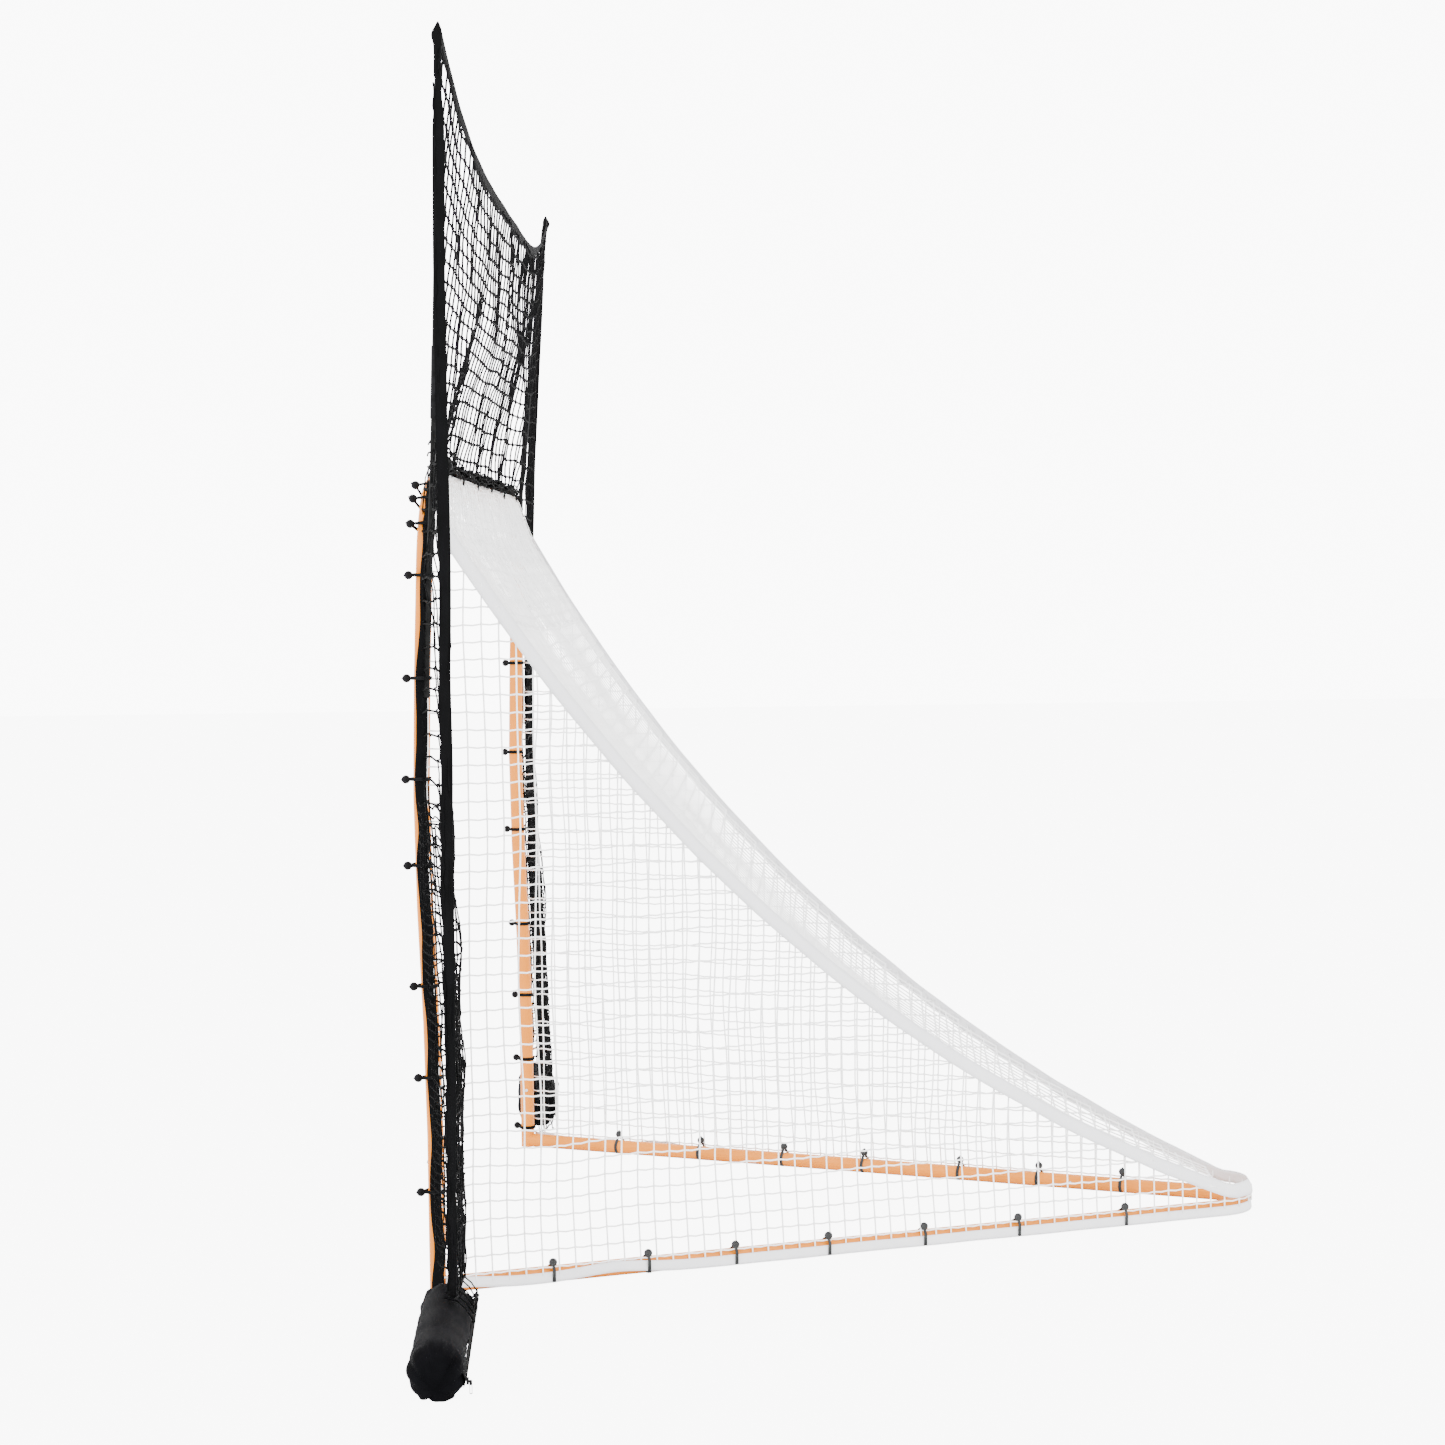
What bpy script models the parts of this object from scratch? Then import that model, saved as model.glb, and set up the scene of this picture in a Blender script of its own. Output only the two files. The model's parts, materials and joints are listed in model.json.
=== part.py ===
"""Six-foot backyard lacrosse goal: tube frame, white goal net, black backstop net and two sandbags.

Metres, +Z up.  X runs across the mouth, the mouth faces -Y and the rear bend points to +Y.
Everything is modelled with the mouth in the plane Y = 0 and hangs from one empty, which puts the
origin under the middle of the whole goal.
"""
import math

import bmesh
import bpy
from mathutils import Vector

# ---------------------------------------------------------------- driving dimensions
MOUTH_INSIDE = 1.829          # six feet between the posts and under the crossbar
TUBE_R = 0.019                # 38 mm steel tube
TUBE_WALL = 0.0015
SIDES = 16                    # facets round a frame tube
CORNER_R = 0.20               # centre-line radius of the top corners
DEPTH = 1.935                 # mouth to the rear bend, centre to centre
REAR_R = 0.11                 # centre-line radius of the rear bend
POST_BOW = 0.018              # the net's pull bows each post forward
SOCKET_TOP = 0.26             # height of the seam between post and base rail
STRAIGHT_FOOT = 0.36          # the post is straight below this height
MOUTH_Y = -0.912              # puts the origin under the middle of the bounding box
GAP = 0.0003                  # running gap between touching pieces

SLEEVE_WALL = 0.0015
SLEEVE_REACH = 0.10           # how far an inner sleeve enters each tube
CROSSBAR_SEAM = 0.55          # distance of the crossbar's seams from the middle
REAR_SEAM = 0.34              # length of the rear bend's legs beyond the bend itself
BUTTON_R = 0.004
BUTTON_STANDS_OUT = 0.0022
BUTTON_FROM_SEAM = 0.04
SCREW_HEIGHT = 0.165
SCREW_HOLE_R = 0.0027

TIP_X = 1.534                 # half width over the backstop's tips
TIP_Z = 2.755
TIP_DEPTH = {1: 0.130, -1: 0.035}     # how far each tip stands behind the mouth
EDGE_DEPTH = {1: 0.115, -1: -0.004}   # the same at the ground
EDGE_BOW = {1: -0.008, -1: -0.045}       # how far the outer edge bows between them
EDGE_WAIST = 0.07             # how far the outer edges draw in at mid height
TOP_SAG = 0.21
WING_BULGE = {1: 0.040, -1: 0.040}
WING_START = 0.0455           # the wings start this far outside the posts
WING_TOP = 1.655              # the wings end here and the top net starts
NET_THICK = 0.003
TAPE_WIDTH = 0.025
TAPE_THICK = 0.0015
SEAM = 0.003                  # between a net's edge and the tape beside it
MOUTH_TAPE_SHIFT = -0.008     # the mouth tape lies towards the post's front
CORNER_REACH = CORNER_R + 0.034          # the black net's inner edge round a top corner
RIDGE_TAPE = 0.030
NET_SPLIT = 0.0016            # between the two side nets at the middle of the rear bend
MOUTH_TAPE_R = TUBE_R + 0.00225       # the mouth tape lies on the tube at this radius

ROD_R = 0.00635               # half-inch fibreglass rod
ROD_LOW = 1.36
ROD_BEND = 1.66               # below this the rod lies along the post
ROD_JOINT = 2.05
ROD_END = TIP_Z - 0.030
ROD_OUT = {1: 0.0245, -1: 0.0312}     # rod's place beside its post: outwards and behind
ROD_BEHIND = {1: 0.0145, -1: -0.0100}
FERRULE_HALF = 0.075
ROD_OFF_NET = 0.016
SAIL = 0.035                  # how far the top net bellies back between the rods
SAIL_RISE = 0.45              # and over what height above the crossbar it gets there
WING_CLOSES = (0.55, 0.45)    # outside the rods: starts below the tips, and done within

RIDGE_START = (0.045, 1.74)   # the white net's ridge as a curve of (depth, height)
RIDGE_PULL = (0.75, 0.55)
RIDGE_END = (1.90, 0.062)
SIDE_NET_OUT = 0.0235         # the side net hangs this far outside the rail's centre
HEM_LOW = 0.004
HEM_HIGH = 0.020

BAG_X = 1.575
BAG_LENGTH = 0.65
BAG_R = 0.060
BAG_HEIGHT = 0.112
BAG_DEPTH = {1: 0.098, -1: -0.0435}
BAG_TURN = {1: 0.092, -1: 0.109}        # neither bag lies quite square to the goal
ZIP_HEIGHT = 0.036
PULL_OUT = 0.0062             # the pull hangs this far outside the slider's middle

CORD_R = 0.0025               # elastic of the ball bungees
BALL_R = 0.0098
LOOP_R = MOUTH_TAPE_R + TAPE_THICK / 2 + CORD_R + 0.0004
BUNGEE_PLACES = (1.400, 1.632)        # these two lash the rod to the post
BUNGEE_BEND_ANGLE = math.radians(27)

POST_X = MOUTH_INSIDE / 2 + TUBE_R
CROSSBAR_Z = MOUTH_INSIDE + TUBE_R
CORNER_X = POST_X - CORNER_R
CORNER_Z = CROSSBAR_Z - CORNER_R
RAIL_Z = TUBE_R * math.cos(math.pi / SIDES)      # the rail lies on one of its facets
BORE_R = TUBE_R - TUBE_WALL
SLEEVE_R = BORE_R * math.cos(math.pi / SIDES) - GAP
OUTER_EDGE = TIP_X - TAPE_WIDTH - SEAM           # where the net ends and its edge tape starts

SIDE_NAMES = {1: "right", -1: "left"}

# ---------------------------------------------------------------- looks
LOOKS = {
    "orange_paint": ((0.80, 0.22, 0.05), 0.38, 0.35),
    "zinc_steel": ((0.55, 0.56, 0.58), 0.35, 1.0),
    "black_steel": ((0.02, 0.02, 0.02), 0.35, 0.0),
    "black_plastic": ((0.02, 0.02, 0.02), 0.45, 0.0),
    "black_elastic": ((0.02, 0.02, 0.022), 0.65, 0.0),
    "black_rubber": ((0.025, 0.025, 0.025), 0.70, 0.0),
    "black_net": ((0.015, 0.015, 0.016), 0.85, 0.0),
    "black_webbing": ((0.02, 0.02, 0.022), 0.80, 0.0),
    "black_canvas": ((0.018, 0.018, 0.02), 0.78, 0.0),
    "black_fibreglass": ((0.02, 0.02, 0.02), 0.35, 0.0),
    "white_net": ((0.90, 0.90, 0.89), 0.80, 0.0),
    "white_webbing": ((0.88, 0.88, 0.88), 0.75, 0.0),
}


def look(name):
    """The material of that name, made once."""
    material = bpy.data.materials.get(name)
    if material:
        return material
    colour, roughness, metallic = LOOKS[name]
    material = bpy.data.materials.new(name)
    material.use_nodes = True
    shader = material.node_tree.nodes["Principled BSDF"]
    shader.inputs["Base Color"].default_value = (*colour, 1.0)
    shader.inputs["Roughness"].default_value = roughness
    shader.inputs["Metallic"].default_value = metallic
    material.diffuse_color = (*colour, 1.0)
    return material


# ---------------------------------------------------------------- scene and helpers
for leftover in list(bpy.data.objects):
    bpy.data.objects.remove(leftover)

PARTS = bpy.data.collections.new("lacrosse_goal")
CUTTERS = bpy.data.collections.new("cutters")
bpy.context.scene.collection.children.link(PARTS)
bpy.context.scene.collection.children.link(CUTTERS)

ORIGIN = bpy.data.objects.new("goal_origin", None)
ORIGIN.location = (0.0, MOUTH_Y, 0.0)
PARTS.objects.link(ORIGIN)


def add_object(name, data, material_name, parent=ORIGIN):
    """A named part with its own material, hung from the goal's empty."""
    piece = bpy.data.objects.new(name, data)
    data.materials.append(look(material_name))
    PARTS.objects.link(piece)
    piece.parent = parent
    return piece


def as_cutter(piece):
    """Takes a piece out of the model: it only cuts or joins others from here on."""
    PARTS.objects.unlink(piece)
    CUTTERS.objects.link(piece)
    piece.hide_render = True
    piece.display_type = "WIRE"
    return piece


def combine(piece, other, operation, solver="EXACT"):
    """Cuts another piece out of this one, or joins it on."""
    boolean = piece.modifiers.new(operation.lower(), "BOOLEAN")
    boolean.operation = operation
    boolean.solver = solver
    boolean.object = as_cutter(other)


def shade_round(piece, angle=math.radians(40)):
    """Smooth shading up to the given edge angle."""
    piece.data.shade_smooth()
    piece.data.set_sharp_from_angle(angle=angle)


def as_mesh(piece):
    """Turns a curve piece into a mesh piece of the same name, its caps welded on."""
    name = piece.name
    bpy.context.view_layer.update()
    evaluated = piece.evaluated_get(bpy.context.evaluated_depsgraph_get())
    mesh = bpy.data.meshes.new_from_object(evaluated)
    shape = bmesh.new()
    shape.from_mesh(mesh)
    bmesh.ops.remove_doubles(shape, verts=shape.verts, dist=0.00001)
    shape.to_mesh(mesh)
    shape.free()
    basis = piece.matrix_basis.copy()
    bpy.data.objects.remove(piece)
    solid = bpy.data.objects.new(name, mesh)
    PARTS.objects.link(solid)
    solid.parent = ORIGIN
    solid.matrix_basis = basis
    return solid


def tube(name, points, radius, material_name, wall=0.0, sides=SIDES, level=False, cyclic=False):
    """A rod along a line of points, or a hollow tube where a wall is given.

    A level tube has one of its facets turned to the ground.
    """
    curve = bpy.data.curves.new(name, "CURVE")
    curve.dimensions = "3D"
    curve.bevel_depth = radius
    curve.bevel_resolution = (sides - 4) // 2
    curve.use_fill_caps = wall == 0.0 and not cyclic
    curve.twist_mode = "Z_UP" if level else "MINIMUM"
    spline = curve.splines.new("POLY")
    spline.points.add(len(points) - 1)
    for spot, point in zip(spline.points, points):
        spot.co = (*point, 1.0)
        spot.tilt = math.pi / sides if level else 0.0
    spline.use_cyclic_u = cyclic
    spline.use_smooth = True
    piece = add_object(name, curve, material_name)
    if wall:
        shell = piece.modifiers.new("wall", "SOLIDIFY")
        shell.thickness = wall
        shell.offset = -1.0
    return piece


def cylinder(name, centre, axis, radius, length, material_name, sides=16):
    """A round bar centred on a point, along an axis."""
    shape = bmesh.new()
    bmesh.ops.create_cone(
        shape, cap_ends=True, segments=sides, radius1=radius, radius2=radius, depth=length
    )
    mesh = bpy.data.meshes.new(name)
    shape.to_mesh(mesh)
    shape.free()
    piece = add_object(name, mesh, material_name)
    piece.location = centre
    piece.rotation_euler = Vector(axis).to_track_quat("Z", "Y").to_euler()
    shade_round(piece)
    return piece


def turned(name, centre, axis, profile, material_name, steps=16):
    """A turned shape: (radius, height) points down its outer side, turned about an axis."""
    mesh = bpy.data.meshes.new(name)
    shape = bmesh.new()
    verts = [shape.verts.new((radius, 0.0, height)) for radius, height in profile]
    for first, second in zip(verts, verts[1:]):
        shape.edges.new((first, second))
    shape.to_mesh(mesh)
    shape.free()
    piece = add_object(name, mesh, material_name)
    piece.location = centre
    piece.rotation_euler = Vector(axis).to_track_quat("Z", "Y").to_euler()
    screw = piece.modifiers.new("turn", "SCREW")
    screw.steps = steps
    screw.render_steps = steps
    screw.use_merge_vertices = True
    screw.merge_threshold = 0.00001
    screw.use_smooth_shade = True
    return piece


def sheet(name, surface, across, along, thickness, material_name):
    """A thin closed sheet: surface(u, v) places a grid's points, and Solidify thickens it."""
    shape = bmesh.new()
    bmesh.ops.create_grid(shape, x_segments=across, y_segments=along, size=0.5)
    for vert in shape.verts:
        vert.co = surface(vert.co.x + 0.5, vert.co.y + 0.5)
    mesh = bpy.data.meshes.new(name)
    shape.to_mesh(mesh)
    shape.free()
    piece = add_object(name, mesh, material_name)
    shell = piece.modifiers.new("cloth", "SOLIDIFY")
    shell.thickness = thickness
    shell.offset = 0.0
    return piece


def block(name, centre, size, material_name):
    """A plain box."""
    shape = bmesh.new()
    bmesh.ops.create_cube(shape, size=1.0)
    bmesh.ops.scale(shape, vec=size, verts=shape.verts)
    mesh = bpy.data.meshes.new(name)
    shape.to_mesh(mesh)
    shape.free()
    piece = add_object(name, mesh, material_name)
    piece.location = centre
    return piece


def between(low, high, share):
    """The value that lies a share of the way from low to high."""
    return low + (high - low) * share


def eased(share):
    """Smooth step from 0 to 1."""
    share = min(max(share, 0.0), 1.0)
    return share * share * (3.0 - 2.0 * share)


# ---------------------------------------------------------------- lines of the goal
def post_depth(height):
    """How far the bowed post's centre lies behind the mouth plane at a height."""
    share = (height - STRAIGHT_FOOT) / (CROSSBAR_Z - STRAIGHT_FOOT)
    return -POST_BOW * math.sin(math.pi * min(max(share, 0.0), 1.0)) ** 2


def post_line(side, low, high, outwards=0.0, step=0.25):
    """Points up a post's straight stretch."""
    count = max(1, round((high - low) / step))
    heights = [between(low, high, i / count) for i in range(count + 1)]
    return [Vector((side * (POST_X + outwards), post_depth(z), z)) for z in heights]


def corner_point(side, angle, outwards=0.0):
    """A point on a top corner's bend: angle 0 on the post, a right angle on the crossbar."""
    radius = CORNER_R + outwards
    height = CORNER_Z + CORNER_R * math.sin(angle)
    return Vector((
        side * (CORNER_X + radius * math.cos(angle)),
        post_depth(height),
        CORNER_Z + radius * math.sin(angle),
    ))


def corner_line(side, outwards=0.0, count=9):
    """Points round a top corner, from the post to the crossbar."""
    return [corner_point(side, math.pi / 2 * i / count, outwards) for i in range(1, count + 1)]


REAR_CENTRE = DEPTH - REAR_R
REAR_TURN = math.atan2(REAR_CENTRE, POST_X) + math.asin(REAR_R / math.hypot(REAR_CENTRE, POST_X))
RAIL_OUT = Vector((math.sin(REAR_TURN), math.cos(REAR_TURN), 0.0))
RAIL_ALONG = Vector((-RAIL_OUT.y, RAIL_OUT.x, 0.0))
RAIL_STRAIGHT = math.sqrt(REAR_CENTRE**2 + POST_X**2 - REAR_R**2)


def mirrored(side, point):
    """The same point on the left (-1) or right (1) half."""
    return Vector((side * point.x, point.y, point.z))


def rail_point(side, run, outwards=0.0, height=RAIL_Z):
    """A point a given run along the base rail, from the post round to the middle of the bend."""
    if run <= RAIL_STRAIGHT:
        point = Vector((POST_X, 0.0, height)) + RAIL_ALONG * run + RAIL_OUT * outwards
        return mirrored(side, point)
    start = math.atan2(RAIL_OUT.y, RAIL_OUT.x)
    angle = start + (run - RAIL_STRAIGHT) / REAR_R
    reach = REAR_R + outwards
    point = Vector((reach * math.cos(angle), REAR_CENTRE + reach * math.sin(angle), height))
    return mirrored(side, point)


RAIL_RUN = RAIL_STRAIGHT + REAR_R * (math.pi / 2 - math.atan2(RAIL_OUT.y, RAIL_OUT.x))
SEAM_RUN = RAIL_STRAIGHT - REAR_SEAM
BEND_RUNS = [between(RAIL_STRAIGHT, RAIL_RUN, i / 6) for i in range(7)]
NET_START = 0.050
NET_RUNS = [between(NET_START, RAIL_STRAIGHT, i / 12) for i in range(12)] + BEND_RUNS


def ridge_height(depth):
    """Height of the white net's sagging ridge above the ground at a depth."""
    (y0, z0), (y1, z1), (y2, z2) = RIDGE_START, RIDGE_PULL, RIDGE_END
    if depth >= y2:
        return z2
    a, b, c = y0 - 2 * y1 + y2, 2 * (y1 - y0), y0 - max(depth, y0)
    t = -c / b if abs(a) < 1e-9 else (-b + math.sqrt(b * b - 4 * a * c)) / (2 * a)
    return (1 - t) ** 2 * z0 + 2 * t * (1 - t) * z1 + t * t * z2


def edge_x(height):
    """Half width of the black net at a height: widest at the tips and at the ground."""
    return OUTER_EDGE - EDGE_WAIST * math.sin(math.pi * min(max(height / TIP_Z, 0.0), 1.0))


def edge_depth(side, height):
    """How far the backstop's outer edge stands behind the mouth plane."""
    share = min(max(height / TIP_Z, 0.0), 1.0)
    bow = EDGE_BOW[side] * math.sin(math.pi * share)
    return between(EDGE_DEPTH[side], TIP_DEPTH[side], share) + bow


def top_edge(share):
    """Height of the sagging top edge; share runs from -1 to 1 across the backstop."""
    return TIP_Z - TOP_SAG * (1.0 - abs(share) ** 3)


def rod_x(side, height):
    """A rod's distance from the middle at a height: beside its post, then leaning out to the tip."""
    share = max((height - ROD_BEND) / (TIP_Z - ROD_BEND), 0.0)
    return between(POST_X + ROD_OUT[side], TIP_X - 0.012, share**1.2)


def rod_depth(side, height):
    """How far a rod's centre stands behind the mouth plane."""
    share = max((height - ROD_BEND) / (TIP_Z - ROD_BEND), 0.0)
    at_post = post_depth(min(height, ROD_BEND)) + ROD_BEHIND[side]
    return between(at_post, TIP_DEPTH[side], share)


def backstop_depth(x, height):
    """How far the black net stands behind the mouth plane: it hangs in front of the two rods."""
    side = 1 if x > 0 else -1
    at_rod = rod_x(side, height)
    left, right = (rod_depth(hand, height) - ROD_OFF_NET for hand in (-1, 1))
    line = right if x > 0 else left
    if abs(x) > at_rod:
        beyond = (abs(x) - at_rod) / max(OUTER_EDGE - at_rod, 0.01)
        start, within = WING_CLOSES
        at_edge = between(edge_depth(side, height), line, eased((height - TIP_Z + start) / within))
        return between(line, at_edge, min(beyond, 1.0))
    outside = max(abs(x) - POST_X, 0.0) / max(at_rod - POST_X, 0.01)
    sail = between(left, right, 0.5 + x / (2 * at_rod)) + SAIL * (1.0 - (x / at_rod) ** 2)
    return between(line * outside, sail, eased((height - CROSSBAR_Z) / SAIL_RISE))


# ---------------------------------------------------------------- tube frame
def hole(piece, centre, axis, radius, solver="EXACT"):
    """Drills a radial hole from a tube's middle outwards."""
    reach = TUBE_R * 1.5
    drill = cylinder("drill", Vector(centre) + Vector(axis) * reach / 2, axis, radius, reach,
                     "zinc_steel")
    combine(piece, drill, "DIFFERENCE", solver)


def make_post(side):
    """Upright with its bent top corner, down to the seam with the base rail."""
    seam_end = [Vector((side * CROSSBAR_SEAM, 0.0, CROSSBAR_Z))]
    foot = [Vector((side * POST_X, 0.0, SOCKET_TOP))]
    line = foot + post_line(side, STRAIGHT_FOOT, CORNER_Z) + corner_line(side) + seam_end
    post = as_mesh(tube(f"{SIDE_NAMES[side]}_post", line, TUBE_R, "orange_paint", TUBE_WALL))
    hole(post, (side * POST_X, 0.0, SOCKET_TOP + BUTTON_FROM_SEAM), (0, -1, 0), BUTTON_R + GAP)
    return post


def make_crossbar():
    """Middle stretch of the crossbar, with a button hole near each end."""
    end = CROSSBAR_SEAM - GAP
    line = [Vector((-end, 0.0, CROSSBAR_Z)), Vector((end, 0.0, CROSSBAR_Z))]
    bar = as_mesh(tube("crossbar", line, TUBE_R, "orange_paint", TUBE_WALL, level=True))
    for side in SIDE_NAMES:
        place = (side * (end - BUTTON_FROM_SEAM), 0.0, CROSSBAR_Z)
        hole(bar, place, (0, 0, -1), BUTTON_R + GAP)


def make_base_rail(side):
    """Ground rail welded to the upright socket that the post plugs into."""
    name = f"{SIDE_NAMES[side]}_base_rail"
    foot = Vector((side * POST_X, 0.0, 0.0004))
    top = Vector((side * POST_X, 0.0, SOCKET_TOP - GAP))
    rail_ends = [rail_point(side, 0.003), rail_point(side, SEAM_RUN - GAP)]
    bore_ends = [rail_point(side, -0.002), rail_point(side, SEAM_RUN + 0.02)]
    rail = as_mesh(tube(name, rail_ends, TUBE_R, "orange_paint", level=True))
    socket = as_mesh(tube("socket", [foot, top], TUBE_R, "orange_paint"))
    bore = as_mesh(tube("rail_bore", bore_ends, BORE_R, "orange_paint", level=True))
    low, high = Vector((0, 0, -0.02)), Vector((0, 0, 0.02))
    socket_bore = as_mesh(tube("socket_bore", [foot + low, top + high], BORE_R, "orange_paint"))
    combine(rail, socket, "UNION", "MANIFOLD")
    combine(rail, bore, "DIFFERENCE", "MANIFOLD")
    combine(rail, socket_bore, "DIFFERENCE", "MANIFOLD")
    hole(rail, (side * POST_X, 0.0, SCREW_HEIGHT), (-side, 0, 0), SCREW_HOLE_R, "MANIFOLD")
    hole(rail, rail_point(side, SEAM_RUN - BUTTON_FROM_SEAM), -mirrored(side, RAIL_OUT),
         BUTTON_R + GAP, "MANIFOLD")


def make_rear_bend():
    """Rounded rear corner that joins the two base rails."""
    runs = [SEAM_RUN, *BEND_RUNS]
    right = [rail_point(1, run) for run in runs]
    left = [rail_point(-1, run) for run in reversed(runs[:-1])]
    tube("rear_bend", right + left, TUBE_R, "orange_paint", TUBE_WALL, level=True)


def make_sleeve(name, ends, holes, level=False):
    """Inner splice sleeve that bridges a seam; holes lists (place, direction, radius)."""
    sleeve = as_mesh(tube(name, ends, SLEEVE_R, "zinc_steel", SLEEVE_WALL, level=level))
    for place, direction, radius in holes:
        hole(sleeve, place, direction, radius)


def make_button(name, place, direction):
    """Spring-loaded snap button: a domed pin that stands out of the tube's hole."""
    out = TUBE_R + BUTTON_STANDS_OUT
    inner = SLEEVE_R - SLEEVE_WALL - 0.004
    profile = [
        (0.0, out), (BUTTON_R * 0.5, out - 0.0003), (BUTTON_R * 0.85, out - 0.0009),
        (BUTTON_R, out - 0.0018), (BUTTON_R, inner), (0.0, inner),
    ]
    turned(name, place, direction, profile, "zinc_steel")


def make_frame():
    """The orange tube frame with its sleeves, buttons, screws and foot caps."""
    make_crossbar()
    make_rear_bend()
    for side, word in SIDE_NAMES.items():
        make_post(side)
        make_base_rail(side)
        button_hole = BUTTON_R + GAP

        low = Vector((side * POST_X, 0.0, SOCKET_TOP - SLEEVE_REACH - 0.03))
        high = Vector((side * POST_X, 0.0, STRAIGHT_FOOT - 0.004))
        place = Vector((side * POST_X, 0.0, SOCKET_TOP + BUTTON_FROM_SEAM))
        screw_place = Vector((side * POST_X, 0.0, SCREW_HEIGHT))
        make_sleeve(f"{word}_post_sleeve", [low, high],
                    [(place, (0, -1, 0), button_hole), (screw_place, (-side, 0, 0), SCREW_HOLE_R)])
        make_button(f"{word}_post_button", place, (0, -1, 0))
        profile = [
            (0.0, TUBE_R + 0.0030), (0.0030, TUBE_R + 0.0026), (0.0046, TUBE_R + 0.0014),
            (0.0046, TUBE_R + GAP), (0.0024, TUBE_R + GAP), (0.0024, 0.0125), (0.0, 0.0125),
        ]
        turned(f"{word}_socket_screw", screw_place, (-side, 0, 0), profile, "zinc_steel", 12)

        seam = Vector((side * CROSSBAR_SEAM, 0.0, CROSSBAR_Z))
        reach = Vector((SLEEVE_REACH, 0.0, 0.0))
        place = seam - Vector((side * (BUTTON_FROM_SEAM + GAP), 0.0, 0.0))
        make_sleeve(f"{word}_crossbar_sleeve", [seam - reach, seam + reach],
                    [(place, (0, 0, -1), button_hole)], level=True)
        make_button(f"{word}_crossbar_button", place, (0, 0, -1))

        ends = [rail_point(side, SEAM_RUN - SLEEVE_REACH), rail_point(side, SEAM_RUN + SLEEVE_REACH)]
        place = rail_point(side, SEAM_RUN - BUTTON_FROM_SEAM)
        inwards = -mirrored(side, RAIL_OUT)
        make_sleeve(f"{word}_rear_sleeve", ends, [(place, inwards, button_hole)], level=True)
        make_button(f"{word}_rear_button", place, inwards)

        plug = (BORE_R - GAP) * math.cos(math.pi / SIDES)
        cap = [
            (0.0, 0.014), (plug - 0.0012, 0.014), (plug, 0.012), (plug, 0.0), (0.0, 0.0),
        ]
        turned(f"{word}_foot_cap", (side * POST_X, 0.0, 0.0), (0, 0, 1), cap, "black_plastic")


# ---------------------------------------------------------------- backstop rods
def rod_point(side, height):
    """The rod's centre: along the post, then leaning outwards to the backstop's tip."""
    return Vector((side * rod_x(side, height), rod_depth(side, height), height))


def rod_line(side, stops, step=0.15):
    """Points along the rod through the given heights."""
    line = [rod_point(side, stops[0])]
    for low, high in zip(stops, stops[1:]):
        count = max(1, round((high - low) / step))
        line += [rod_point(side, between(low, high, i / count)) for i in range(1, count + 1)]
    return line


def make_rod(side):
    """Two-piece fibreglass rod with its ferrule, end cap and the pocket on its tip."""
    word = SIDE_NAMES[side]
    below, above = ROD_JOINT - FERRULE_HALF, ROD_JOINT + FERRULE_HALF
    lower = rod_line(side, [ROD_LOW, ROD_BEND, below, ROD_JOINT - GAP])
    tube(f"{word}_lower_rod", lower, ROD_R, "black_fibreglass", sides=10)
    upper = rod_line(side, [ROD_JOINT + GAP, above, ROD_END])
    tube(f"{word}_upper_rod", upper, ROD_R, "black_fibreglass", sides=10)
    middle = rod_line(side, [below, ROD_JOINT, above])
    tube(f"{word}_rod_ferrule", middle, ROD_R + 0.0018, "black_steel", 0.0011, sides=12)
    cap = [
        (0.0, 0.014), (ROD_R + 0.0019, 0.014), (ROD_R + 0.0019, -0.002), (0.004, -0.005),
        (0.0, -0.005),
    ]
    low_end = lower[0]
    axis = (lower[1] - low_end).normalized()
    end_cap = turned(f"{word}_rod_end_cap", low_end, axis, cap, "black_rubber", 12)
    socket = cylinder("cap_socket", low_end + axis * (0.010 - GAP), axis, ROD_R + 0.0005, 0.020,
                      "black_rubber")
    combine(end_cap, socket, "DIFFERENCE")

    end = upper[-1]
    axis = end - upper[-2]
    outer = [
        (0.0, 0.036), (0.0035, 0.028), (0.0095, 0.004), (0.0110, -0.010), (0.0095, -0.045),
        (0.0090, -0.062), (0.0, -0.062),
    ]
    pocket = turned(f"{word}_corner_pocket", end, axis, outer, "black_webbing", 12)
    bore = cylinder("pocket_bore", end - axis.normalized() * 0.0392, axis, ROD_R + 0.0009, 0.080,
                    "black_webbing", 12)
    combine(pocket, bore, "DIFFERENCE")


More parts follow.
